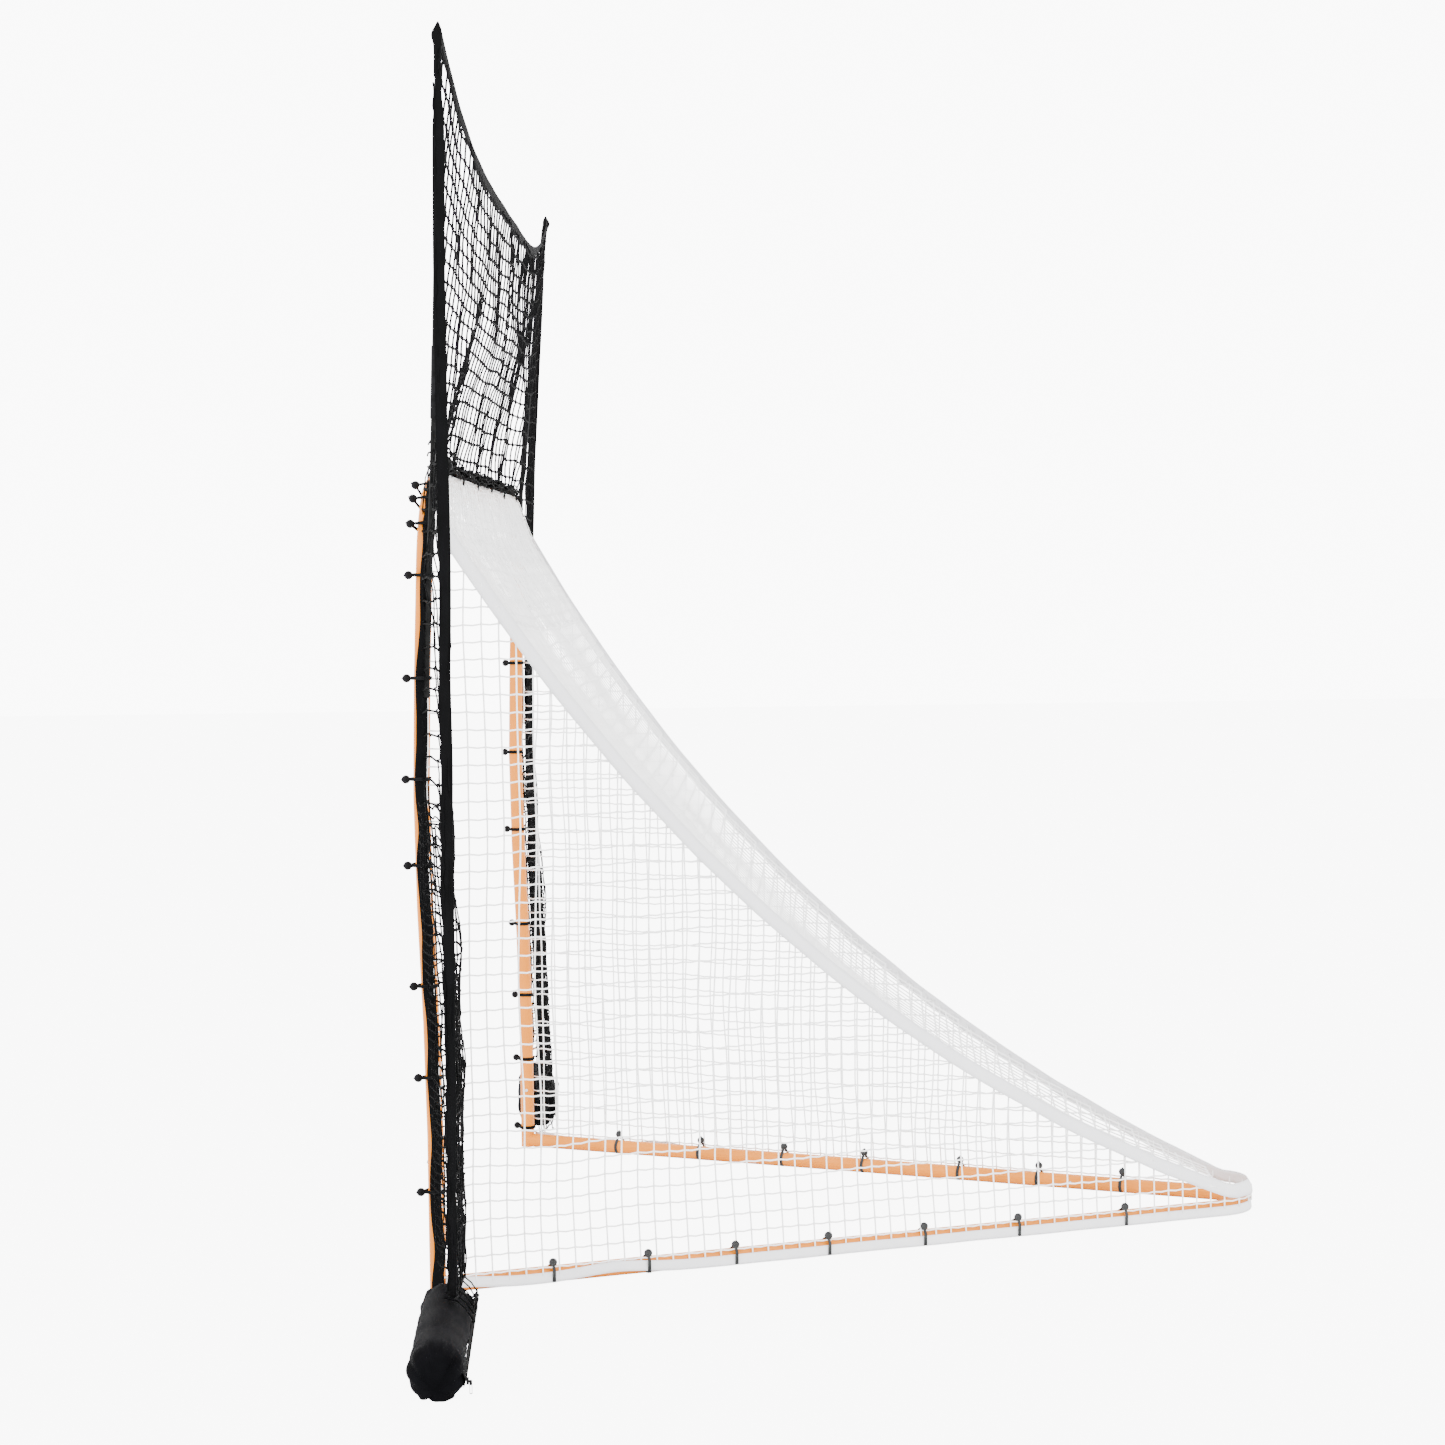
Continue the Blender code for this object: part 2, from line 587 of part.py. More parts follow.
# ---------------------------------------------------------------- black backstop net
def make_backstop():
    """The black net above and beside the goal, with its edge and mouth tapes."""
    def lower_edge(x):
        inside = max(abs(x) - CORNER_X, 0.0)
        arc = math.sqrt(max(CORNER_REACH**2 - inside**2, 0.0))
        return max(WING_TOP + GAP + 0.0005, CORNER_Z + arc)

    def top_place(share):
        x = share * edge_x(top_edge(share))
        return x, top_edge(x / TIP_X)

    widest = edge_x(WING_TOP)
    corner_out = CORNER_X + CORNER_REACH
    columns = [CORNER_X * i / 3 for i in range(3)]
    columns += [CORNER_X + CORNER_REACH * math.sin(math.pi / 2 * i / 6) for i in range(6)]
    columns += [between(corner_out, widest, i / 10) for i in range(11)]
    columns = [-x for x in reversed(columns[1:])] + columns

    def top_surface(u, v):
        share = columns[round(u * (len(columns) - 1))] / widest
        low = lower_edge(share * widest)
        height = between(low, top_place(share)[1] - TAPE_WIDTH - SEAM, v)
        x = share * edge_x(height)
        return Vector((x, backstop_depth(x, height), height))

    sheet("backstop_top_net", top_surface, len(columns) - 1, 10, NET_THICK, "black_net")

    def top_tape(u, v):
        x, height = top_place(2 * u - 1)
        height -= TAPE_WIDTH * (1 - v)
        return Vector((x, backstop_depth(x, height), height))

    sheet("backstop_top_tape", top_tape, 60, 1, TAPE_THICK, "black_webbing")

    for side, word in SIDE_NAMES.items():
        start = POST_X + WING_START

        def wing(u, v, side=side, start=start):
            reach = between(start, edge_x(WING_TOP * v), u)
            bottom = between(0.012, BAG_HEIGHT + 0.016, eased((reach - 1.08) / 0.12))
            height = between(bottom, WING_TOP, v)
            x = between(start, edge_x(height), u)
            at_post = post_depth(height) + 0.004
            bulge = WING_BULGE[side] * math.sin(math.pi * u) * eased((WING_TOP - height) / 0.9)
            return Vector((side * x, between(at_post, edge_depth(side, height), u) + bulge, height))

        sheet(f"{word}_wing_net", wing, 8, 8, NET_THICK, "black_net")

        def edge_tape(u, v, side=side):
            height = between(BAG_HEIGHT + 0.016, TIP_Z - 0.060, v)
            y = edge_depth(side, height) + TAPE_WIDTH * (u - 0.5)
            return Vector((side * (edge_x(height) + SEAM), y, height))

        sheet(f"{word}_edge_tape", edge_tape, 1, 12, TAPE_THICK, "black_webbing")

    line = post_line(1, 0.06, CORNER_Z, MOUTH_TAPE_R) + corner_line(1, MOUTH_TAPE_R)
    half = line + [Vector((0.0, 0.0, CROSSBAR_Z + MOUTH_TAPE_R))]
    whole = half + [mirrored(-1, point) for point in reversed(half[:-1])]
    last = len(whole) - 1

    def mouth_tape(u, v):
        point = whole[round(v * last)]
        return point + Vector((0.0, TAPE_WIDTH * (u - 0.5) + MOUTH_TAPE_SHIFT, 0.0))

    sheet("backstop_mouth_tape", mouth_tape, 1, last, TAPE_THICK, "black_webbing")


# ---------------------------------------------------------------- white goal net
def make_goal_net():
    """Two side nets, the back net between them, the ridge tapes and the hem tape."""
    last = len(NET_RUNS) - 1

    for side, word in SIDE_NAMES.items():
        def side_surface(u, v, side=side):
            step = round(u * last)
            run = NET_RUNS[step] - (NET_SPLIT if step == last else 0.0)
            foot = rail_point(side, run, SIDE_NET_OUT, HEM_HIGH + GAP)
            foot.z = between(foot.z, ridge_height(foot.y), v)
            return foot

        sheet(f"{word}_side_net", side_surface, last, 3, NET_THICK, "white_net")

        def ridge_tape(u, v, side=side):
            run = NET_RUNS[round(u * (last - 1))]
            outside = SIDE_NET_OUT + NET_THICK / 2 + TAPE_THICK / 2 + 0.0005
            foot = rail_point(side, run, outside)
            ahead = rail_point(side, run + 0.02, outside)
            slope = math.atan2(ridge_height(ahead.y) - ridge_height(foot.y), 0.02)
            foot.z = ridge_height(foot.y) + (v - 0.6) * RIDGE_TAPE / math.cos(slope)
            return foot

        sheet(f"{word}_ridge_tape", ridge_tape, last - 1, 1, TAPE_THICK, "white_webbing")

    def hem(u, v):
        step = round(u * 2 * last) - last
        side = 1 if step > 0 else -1
        run = NET_RUNS[last - abs(step)]
        return rail_point(side, run, SIDE_NET_OUT, between(HEM_LOW, HEM_HIGH, v))

    sheet("goal_hem_tape", hem, 2 * last, 1, TAPE_THICK, "white_webbing")

    def back_surface(u, v):
        depth = between(RIDGE_START[0], REAR_CENTRE - 0.02, max(v - 0.08, 0.0) / 0.92)
        height = ridge_height(depth)
        corner = max(0.08 - v, 0.0) / 0.08
        height = between(height, CROSSBAR_Z - 0.016, corner)
        depth = between(depth, 0.027, corner)
        run = depth / RAIL_ALONG.y
        half = abs(rail_point(1, run, SIDE_NET_OUT - 0.012).x)
        half = between(half, CORNER_X + 0.02, corner**2)
        return Vector((between(-half, half, u), depth, height))

    sheet("back_net", back_surface, 4, 25, NET_THICK, "white_net")


# ---------------------------------------------------------------- sandbags
def make_sandbag(side):
    """Round filled bag, flat where it lies, with a zip slider and its pull at the outer end."""
    word = SIDE_NAMES[side]
    spot = bpy.data.objects.new(f"{word}_bag_place", None)
    PARTS.objects.link(spot)
    spot.parent = ORIGIN
    spot.location = (side * BAG_X, BAG_DEPTH[side], 0.0)
    spot.rotation_euler.z = BAG_TURN[side]
    shape = bmesh.new()
    bmesh.ops.create_cone(shape, cap_ends=True, segments=24, radius1=BAG_R, radius2=BAG_R,
                          depth=BAG_LENGTH)
    bmesh.ops.bevel(shape, geom=[e for e in shape.edges if len(e.link_faces) == 2
                                 and any(len(f.verts) > 4 for f in e.link_faces)],
                    offset=0.022, segments=2, affect="EDGES", profile=0.5)
    for vert in shape.verts:
        vert.co.xyz = (vert.co.z, vert.co.y, max(-vert.co.x, BAG_R - BAG_HEIGHT))
    mesh = bpy.data.meshes.new(f"{word}_sandbag")
    shape.to_mesh(mesh)
    shape.free()
    bag = add_object(f"{word}_sandbag", mesh, "black_canvas")
    bag.location.z = BAG_HEIGHT - BAG_R
    shade_round(bag)

    x = side * (BAG_LENGTH / 2 - 0.040)
    y = BAG_R + 0.0035
    slider = block(f"{word}_zip_slider", (x, y, ZIP_HEIGHT), (0.009, 0.005, 0.013), "zinc_steel")
    turned = [bag, slider]
    for end in (-1, 1):
        ear = block("slider_ear", (x + end * 0.0030, y + 0.0048, ZIP_HEIGHT - 0.001),
                    (0.0014, 0.0066, 0.004), "zinc_steel")
        combine(slider, ear, "UNION")
        turned.append(ear)
    bar = cylinder("slider_bar", (x, y + PULL_OUT, ZIP_HEIGHT - 0.001), (1, 0, 0), 0.0009, 0.0070,
                   "zinc_steel", 8)
    combine(slider, bar, "UNION")

    curve = bpy.data.curves.new(f"{word}_zip_pull", "CURVE")
    curve.dimensions = "2D"
    curve.fill_mode = "BOTH"
    curve.extrude = 0.0006
    for half_width, top, low in ((0.0028, 0.0024, -0.0255), (0.0017, 0.0013, -0.0030),
                                 (0.0016, -0.0075, -0.0240)):
        spline = curve.splines.new("POLY")
        rounding = half_width * 0.6
        outline = []
        for sign_x, sign_z, start in ((1, 1, 0), (-1, 1, 1), (-1, -1, 2), (1, -1, 3)):
            edge = top if sign_z > 0 else low
            for i in range(4):
                angle = math.pi / 2 * (start + i / 3)
                outline.append((sign_x * (half_width - rounding) + rounding * math.cos(angle),
                                edge - sign_z * rounding + rounding * math.sin(angle)))
        spline.points.add(len(outline) - 1)
        for point, (a, b) in zip(spline.points, outline):
            point.co = (a, b, 0.0, 1.0)
        spline.use_cyclic_u = True
    pull = add_object(f"{word}_zip_pull", curve, "zinc_steel")
    pull.location = (x, y + PULL_OUT, ZIP_HEIGHT - 0.001)
    pull.rotation_euler = (math.pi / 2, 0.0, math.pi / 2)
    turned += [bar, as_mesh(pull)]
    for piece in turned:
        piece.parent = spot


# ---------------------------------------------------------------- ball bungees
def belt(circles, corners=20):
    """Points of a band drawn tight round some circles, each (a, b, radius)."""
    turns = [2 * math.pi * i / corners for i in range(corners)]
    dots = sorted((a + r * math.cos(t), b + r * math.sin(t)) for a, b, r in circles for t in turns)

    def chain(points):
        kept = []
        for p in points:
            while len(kept) > 1 and ((kept[-1][0] - kept[-2][0]) * (p[1] - kept[-2][1])
                                     <= (kept[-1][1] - kept[-2][1]) * (p[0] - kept[-2][0])):
                kept.pop()
            kept.append(p)
        return kept[:-1]

    outline = chain(dots) + chain(dots[::-1])
    spaced = [outline[0]]
    for dot in outline[1:]:
        if math.dist(dot, spaced[-1]) > CORD_R * 1.6:
            spaced.append(dot)
    return spaced


def make_bungee(name, centre, outwards, circles):
    """Elastic loop round the tube and whatever lies along it, closed by a ball in front."""
    behind = Vector((0.0, 1.0, 0.0))
    ball_at = (0.0200, -0.0325)
    tape_out = MOUTH_TAPE_R + TAPE_THICK / 2
    tape_edges = [(tape_out, MOUTH_TAPE_SHIFT + reach, CORD_R + 0.0006)
                  for reach in (-TAPE_WIDTH / 2, TAPE_WIDTH / 2)]
    loop = belt([(0.0, 0.0, LOOP_R), (ball_at[0], ball_at[1] + 0.003, CORD_R), *tape_edges,
                 *circles])
    line = [centre + outwards * a + behind * b for a, b in loop]
    elastic = as_mesh(tube(name, line, CORD_R, "black_elastic", sides=6, cyclic=True))
    shape = bmesh.new()
    bmesh.ops.create_uvsphere(shape, u_segments=12, v_segments=8, radius=BALL_R)
    mesh = bpy.data.meshes.new("ball")
    shape.to_mesh(mesh)
    shape.free()
    ball = add_object("ball", mesh, "black_elastic")
    ball.location = centre + outwards * ball_at[0] + behind * ball_at[1]
    combine(elastic, ball, "UNION")


def make_bungees():
    """The bungees at the top of each post: two lash the rod to it, one holds the corner."""
    for side, word in SIDE_NAMES.items():
        for number, height in enumerate(BUNGEE_PLACES, 1):
            centre = Vector((side * POST_X, post_depth(height), height))
            around_rod = (ROD_OUT[side], ROD_BEHIND[side], ROD_R + CORD_R + 0.0012)
            make_bungee(f"{word}_post_bungee_{number}", centre, Vector((side, 0.0, 0.0)),
                        [around_rod])
        angle = BUNGEE_BEND_ANGLE
        outwards = Vector((side * math.cos(angle), 0.0, math.sin(angle)))
        make_bungee(f"{word}_corner_bungee", corner_point(side, angle), outwards, [])


make_frame()
for which in SIDE_NAMES:
    make_rod(which)
    make_sandbag(which)
make_backstop()
make_goal_net()
make_bungees()
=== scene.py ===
"""Looks of the lacrosse goal: real net strands, tapes, ball bungees and sandbags round the CAD frame."""

import json
from math import asin, atan2, cos, dist, exp, hypot, pi, radians, sin, sqrt, tan

import bmesh
import bpy
import numpy as np
from mathutils import Matrix, Vector, noise


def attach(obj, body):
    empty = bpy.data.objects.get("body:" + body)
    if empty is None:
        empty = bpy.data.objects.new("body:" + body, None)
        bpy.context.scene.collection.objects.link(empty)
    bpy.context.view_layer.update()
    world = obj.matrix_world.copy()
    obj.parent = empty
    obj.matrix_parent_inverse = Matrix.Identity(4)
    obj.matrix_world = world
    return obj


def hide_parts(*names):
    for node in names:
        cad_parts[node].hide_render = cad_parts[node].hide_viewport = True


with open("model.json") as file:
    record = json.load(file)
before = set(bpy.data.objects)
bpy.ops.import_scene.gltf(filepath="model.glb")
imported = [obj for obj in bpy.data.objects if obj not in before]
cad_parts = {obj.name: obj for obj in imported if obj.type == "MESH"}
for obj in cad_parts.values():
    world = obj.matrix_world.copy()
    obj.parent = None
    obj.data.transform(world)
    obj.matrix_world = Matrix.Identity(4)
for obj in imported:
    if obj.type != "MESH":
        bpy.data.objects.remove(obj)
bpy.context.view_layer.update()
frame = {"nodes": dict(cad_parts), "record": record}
scene = bpy.context.scene

# ---------------------------------------------------------------- sizes shared with the CAD, in metres
MOUTH_Y = -0.912
TUBE_R = 0.019
CORNER_R = 0.20
POST_X = 1.829 / 2 + TUBE_R
CROSSBAR_Z = 1.829 + TUBE_R
CORNER_X = POST_X - CORNER_R
CORNER_Z = CROSSBAR_Z - CORNER_R
DEPTH = 1.935
REAR_R = 0.11
POST_BOW = 0.018
STRAIGHT_FOOT = 0.36
RAIL_Z = TUBE_R * cos(pi / 16)
TIP_X = 1.534
TIP_Z = 2.755
TIP_DEPTH = {1: 0.130, -1: 0.035}
EDGE_DEPTH = {1: 0.115, -1: -0.004}
EDGE_BOW = {1: -0.008, -1: -0.045}
EDGE_WAIST = 0.07
TOP_SAG = 0.21
WING_BULGE = {1: 0.040, -1: 0.040}
WING_TOP = 1.655
TAPE_WIDTH = 0.025
OUTER_EDGE = TIP_X - TAPE_WIDTH - 0.003
MOUTH_TAPE_R = TUBE_R + 0.00225
RIDGE = ((0.045, 1.74), (0.75, 0.55), (1.90, 0.062))
SIDE_NET_OUT = 0.0235
HEM_HIGH = 0.020
BAG_X, BAG_LENGTH, BAG_R, BAG_HEIGHT = 1.575, 0.65, 0.060, 0.112
BAG_DEPTH = {1: 0.098, -1: -0.0435}
BAG_TURN = {1: 0.092, -1: 0.109}
CORD_R = 0.0025
BALL_R = 0.0098
ROD_R, ROD_BEND = 0.00635, 1.66
ROD_OUT = {1: 0.0245, -1: 0.0312}
ROD_BEHIND = {1: 0.0145, -1: -0.0100}
SAIL, SAIL_RISE = 0.035, 0.45
WING_START = 0.0455
SIDES = {1: "right", -1: "left"}

WHITE_MESH, WHITE_STRAND_R, WHITE_KNOT = 0.040, 0.0020, 1.55
BLACK_MESH, BLACK_STRAND_R, BLACK_KNOT = 0.050, 0.0019, 1.7
BLACK_ROW_R = 0.0024
KNOT_HALF = 0.0035
SIDEWAYS = (1.0, 0.0, 0.0)
UPWARDS = (0.0, 0.0, 1.0)
BACKWARDS = (0.0, 1.0, 0.0)
ROW_FACING = (0.0, 0.35, 0.94)
SLOPE_FACING = (0.0, 0.55, 0.83)


def between(low, high, share):
    return low + (high - low) * share


def eased(share):
    share = min(max(share, 0.0), 1.0)
    return share * share * (3.0 - 2.0 * share)


def wave(x, y, z, scale, seed=0.0):
    """Smooth noise from about -1 to 1."""
    return noise.noise(Vector((x / scale + seed, y / scale - seed, z / scale + 0.37 * seed)))


# ---------------------------------------------------------------- camera
YAW, PITCH, ROLL = -0.0453, 0.0374, -0.0141
LENS_MM, SENSOR_MM = 74.7106, 36.0
CAMERA_AT = (7.6686, 0.971 + MOUTH_Y, 1.5431)


def set_camera():
    """The camera beside the goal, a little behind its mouth."""
    flat = cos(PITCH)
    ahead = Vector((-cos(YAW) * flat, sin(YAW) * flat, -sin(PITCH)))
    right = ahead.cross(Vector(UPWARDS)).normalized()
    up = right.cross(ahead)
    right, up = (right * cos(ROLL) + up * sin(ROLL),
                 up * cos(ROLL) - right * sin(ROLL))
    data = bpy.data.cameras.new("camera")
    data.sensor_width = SENSOR_MM
    data.lens = LENS_MM
    data.clip_end = 100.0
    camera = bpy.data.objects.new("camera", data)
    scene.collection.objects.link(camera)
    turn = Matrix((right, up, -ahead)).transposed().to_4x4()
    camera.matrix_world = Matrix.Translation(CAMERA_AT) @ turn
    scene.camera = camera


set_camera()


# ---------------------------------------------------------------- materials
BLACK_GLOSS = 0.03
PAINT_GLOSS = 0.15


def material(name, colour, rough, metal=0.0):
    """A Principled material; returns its node tree and shader for more detail."""
    mat = bpy.data.materials.new(name)
    mat.use_nodes = True
    tree = mat.node_tree
    shader = tree.nodes["Principled BSDF"]
    shader.inputs["Base Color"].default_value = (*colour, 1.0)
    shader.inputs["Roughness"].default_value = rough
    shader.inputs["Metallic"].default_value = metal
    return mat, tree, shader


def dial(shader, socket, value):
    shader.inputs[socket].default_value = value


def link(tree, a, b):
    tree.links.new(a, b)


def node(tree, kind, sockets, result, **settings):
    """A shader node with its sockets linked or set; returns its output named result."""
    new = tree.nodes.new(f"ShaderNode{kind}")
    for key, value in settings.items():
        setattr(new, key, value)
    for socket, value in sockets.items():
        if isinstance(value, bpy.types.NodeSocket):
            link(tree, value, new.inputs[socket])
        else:
            dial(new, socket, value)
    return new.outputs[result]


def places(tree, kind="Object"):
    return node(tree, "TexCoord", {}, kind)


def speckle(tree, vector, scale, detail=4.0):
    return node(tree, "TexNoise", {"Vector": vector, "Scale": scale, "Detail": detail}, "Fac")


def ripples(tree, vector, scale, direction, turbulence=0.0):
    return node(tree, "TexWave", {"Vector": vector, "Scale": scale, "Distortion": turbulence}, "Fac",
                wave_type="BANDS", bands_direction=direction)


def combined(tree, kind, a, b):
    return node(tree, "Math", {0: a, 1: b}, "Value", operation=kind)


def bump(tree, shader, height, distance, strength):
    normal = node(tree, "Bump", {"Height": height, "Distance": distance, "Strength": strength}, "Normal")
    link(tree, normal, shader.inputs["Normal"])


def rough_from(tree, shader, fac, low, high):
    rough = node(tree, "MapRange", {"Value": fac, "To Min": low, "To Max": high}, "Result")
    link(tree, rough, shader.inputs["Roughness"])


def tint(tree, shader, fac, dark, light, low=0.35, high=0.65):
    """Base colour between two shades."""
    ramp = tree.nodes.new("ShaderNodeValToRGB")
    for element, stop, colour in zip(ramp.color_ramp.elements, (low, high), (dark, light)):
        element.position = stop
        element.color = (*colour, 1.0)
    link(tree, fac, ramp.inputs["Fac"])
    link(tree, ramp.outputs["Color"], shader.inputs["Base Color"])


def grained(name, shades, patch, scuff, rough, grain, relief, metal=0.0, detail=2.0):
    """A hard surface: patchy colour, scuffed roughness and a fine grain, each with its noise scale."""
    mat, tree, shader = material(name, shades[1], rough[0], metal)
    where = places(tree)
    tint(tree, shader, speckle(tree, where, patch), *shades)
    rough_from(tree, shader, speckle(tree, where, scuff), *rough)
    bump(tree, shader, speckle(tree, where, grain, detail), *relief)
    return mat, shader


def paint(name, dark, light):
    """Powder coat: a fine orange-peel grain under a thin clear layer."""
    mat, shader = grained(name, (dark, light), 7.0, 60.0, (0.28, 0.44), 900.0, (0.0002, 0.25))
    dial(shader, "Specular IOR Level", PAINT_GLOSS)
    dial(shader, "Coat Weight", 0.08)
    dial(shader, "Coat Roughness", 0.22)
    return mat


def steel(name):
    """Zinc-plated steel."""
    shades = ((0.48, 0.49, 0.51), (0.70, 0.71, 0.73))
    return grained(name, shades, 40.0, 300.0, (0.22, 0.45), 1500.0, (0.0001, 0.3), 1.0, 4.0)[0]


def plastic(name, dark, light, low, high, grain=1200.0):
    """Dull moulded plastic, rubber or lacquered rod; low and high bound its roughness."""
    mat, shader = grained(name, (dark, light), 50.0, 160.0, (low, high), grain, (0.00015, 0.3))
    dial(shader, "Specular IOR Level", BLACK_GLOSS)
    return mat


def cord(name, dark, light, rough, sheen, gloss=0.5):
    """Braided cord: fine slanting ripples in one direction, with a fine fuzz over them."""
    mat, tree, shader = material(name, light, rough)
    dial(shader, "Specular IOR Level", gloss)
    where = places(tree)
    tint(tree, shader, speckle(tree, where, 22.0), dark, light, 0.3, 0.7)
    one = ripples(tree, where, 260.0, "DIAGONAL", turbulence=1.5)
    fuzz = speckle(tree, where, 1400.0, 3.0)
    bump(tree, shader, combined(tree, "ADD", one, fuzz), 0.0005, 0.6)
    dial(shader, "Sheen Weight", sheen)
    dial(shader, "Sheen Roughness", 0.5)
    return mat


def webbing(name, dark, light, rough, sheen, gloss=0.5):
    """Woven tape: herringbone ribs along its length, from the strip's own metres in UV."""
    mat, tree, shader = material(name, light, rough)
    dial(shader, "Specular IOR Level", gloss)
    where = places(tree, "UV")
    ribs = ripples(tree, where, 130.0, "X")
    picks = ripples(tree, where, 210.0, "DIAGONAL", turbulence=0.4)
    weave = combined(tree, "MULTIPLY", ribs, picks)
    grime = speckle(tree, places(tree), 18.0)
    tint(tree, shader, combined(tree, "MULTIPLY", weave, grime), dark, light, 0.0, 0.45)
    bump(tree, shader, weave, 0.0006, 0.8)
    dial(shader, "Sheen Weight", sheen)
    return mat


def canvas(name):
    """Bag cloth: a plain weave on every face, worn in patches."""
    mat, tree, shader = material(name, (0.007, 0.007, 0.008), 0.72)
    dial(shader, "Specular IOR Level", BLACK_GLOSS / 3)
    where = places(tree)
    warp = ripples(tree, where, 330.0, "X")
    weft = ripples(tree, where, 330.0, "Z")
    depth = ripples(tree, where, 330.0, "Y")
    weave = combined(tree, "MULTIPLY", combined(tree, "ADD", warp, depth), weft)
    worn = speckle(tree, where, 14.0)
    tint(tree, shader, worn, (0.0012, 0.0012, 0.0015), (0.0034, 0.0034, 0.0042), 0.35, 0.7)
    rough_from(tree, shader, worn, 0.55, 0.8)
    bump(tree, shader, weave, 0.0005, 0.55)
    return mat


NEAR_BLACK = (0.004, 0.004, 0.004)
BLACK = (0.009, 0.009, 0.009)
SOOT = (0.001, 0.001, 0.001)
LOOKS = {name: maker(name, *rest) for maker, name, *rest in (
    (paint, "orange_paint", (0.54, 0.160, 0.004), (0.62, 0.185, 0.007)),
    (steel, "zinc_steel"),
    (plastic, "black_steel", NEAR_BLACK, (0.009, 0.009, 0.010), 0.30, 0.48, 900.0),
    (plastic, "black_plastic", NEAR_BLACK, (0.010, 0.010, 0.011), 0.30, 0.50),
    (plastic, "black_rubber", NEAR_BLACK, BLACK, 0.45, 0.75, 600.0),
    (plastic, "black_fibreglass", (0.003, 0.003, 0.003), (0.008, 0.008, 0.008), 0.28, 0.42),
    (cord, "black_net", SOOT, (0.003, 0.003, 0.0035), 0.75, 0.0, BLACK_GLOSS),
    (cord, "black_elastic", (0.003, 0.003, 0.003), (0.009, 0.009, 0.010), 0.62, 0.0, BLACK_GLOSS),
    # The next two looks are the black elastic and black balls painted a lighter grey: painted light,
    # standing for strong light that washes out the black bungees on the rails.
    (cord, "lit_black_elastic", (0.028, 0.029, 0.029), (0.042, 0.043, 0.044), 0.62, 0.0, BLACK_GLOSS),
    (plastic, "lit_black_plastic", (0.026, 0.027, 0.027), (0.038, 0.039, 0.040), 0.30, 0.50),
    (webbing, "black_webbing", SOOT, (0.006, 0.006, 0.007), 0.78, 0.0, BLACK_GLOSS),
    (canvas, "black_canvas"),
    (cord, "white_net", (0.80, 0.80, 0.80), (0.92, 0.92, 0.92), 0.7, 0.1),
    (webbing, "white_webbing", (0.66, 0.66, 0.68), (0.84, 0.84, 0.85), 0.72, 0.1),
)}


def place(piece, look_name, body="goal"):
    """Gives a new piece its material, body and slot."""
    piece.data.materials.clear()
    piece.data.materials.append(LOOKS[look_name])
    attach(piece, body)
    return piece


def shade_smooth(mesh):
    mesh.polygons.foreach_set("use_smooth", [True] * len(mesh.polygons))


def new_object(name, data):
    thing = bpy.data.objects.new(name, data)
    scene.collection.objects.link(thing)
    return thing


def soften(piece, thickness, offset):
    """Gives a fabric shell its thickness and one round of smoothing."""
    shell = piece.modifiers.new("cloth", "SOLIDIFY")
    shell.thickness = thickness
    shell.offset = offset
    subdivide(piece)


def subdivide(piece):
    smooth = piece.modifiers.new("smooth", "SUBSURF")
    smooth.levels = 1
    smooth.render_levels = 1


# ---------------------------------------------------------------- lines of the goal
REAR_CENTRE = DEPTH - REAR_R
REAR_TURN = atan2(REAR_CENTRE, POST_X) + asin(REAR_R / hypot(REAR_CENTRE, POST_X))
RAIL_OUT = Vector((sin(REAR_TURN), cos(REAR_TURN), 0.0))
RAIL_ALONG = Vector((-RAIL_OUT.y, RAIL_OUT.x, 0.0))
RAIL_STRAIGHT = sqrt(REAR_CENTRE**2 + POST_X**2 - REAR_R**2)
RAIL_RUN = RAIL_STRAIGHT + REAR_R * (pi / 2 - atan2(RAIL_OUT.y, RAIL_OUT.x))


def post_depth(height):
    share = (height - STRAIGHT_FOOT) / (CROSSBAR_Z - STRAIGHT_FOOT)
    return -POST_BOW * sin(pi * min(max(share, 0.0), 1.0)) ** 2


def rail_point(side, run, outwards=0.0, height=RAIL_Z):
    if run <= RAIL_STRAIGHT:
        point = Vector((POST_X, 0.0, height)) + RAIL_ALONG * run + RAIL_OUT * outwards
    else:
        angle = atan2(RAIL_OUT.y, RAIL_OUT.x) + (run - RAIL_STRAIGHT) / REAR_R
        reach = REAR_R + outwards
        point = Vector((reach * cos(angle), REAR_CENTRE + reach * sin(angle), height))
    return Vector((side * point.x, point.y, point.z))


def rail_outwards(side, run):
    return (rail_point(side, run, 1.0) - rail_point(side, run)).normalized()


def ridge_height(depth):
    (y0, z0), (y1, z1), (y2, z2) = RIDGE
    if depth >= y2:
        return z2
    a, b, c = y0 - 2 * y1 + y2, 2 * (y1 - y0), y0 - max(depth, y0)
    t = (-b + sqrt(b * b - 4 * a * c)) / (2 * a)
    return (1 - t) ** 2 * z0 + 2 * t * (1 - t) * z1 + t * t * z2


def edge_x(height):
    return OUTER_EDGE - EDGE_WAIST * sin(pi * min(max(height / TIP_Z, 0.0), 1.0))


def edge_depth(side, height):
    share = min(max(height / TIP_Z, 0.0), 1.0)
    bow = EDGE_BOW[side] * sin(pi * share)
    return between(EDGE_DEPTH[side], TIP_DEPTH[side], share) + bow


def top_edge(share):
    return TIP_Z - TOP_SAG * (1.0 - abs(share) ** 3)


def rod_x(side, height):
    share = max((height - ROD_BEND) / (TIP_Z - ROD_BEND), 0.0)
    return between(POST_X + ROD_OUT[side], TIP_X - 0.012, share**1.2)


def rod_depth(side, height):
    share = max((height - ROD_BEND) / (TIP_Z - ROD_BEND), 0.0)
    at_post = post_depth(min(height, ROD_BEND)) + ROD_BEHIND[side]
    return between(at_post, TIP_DEPTH[side], share)


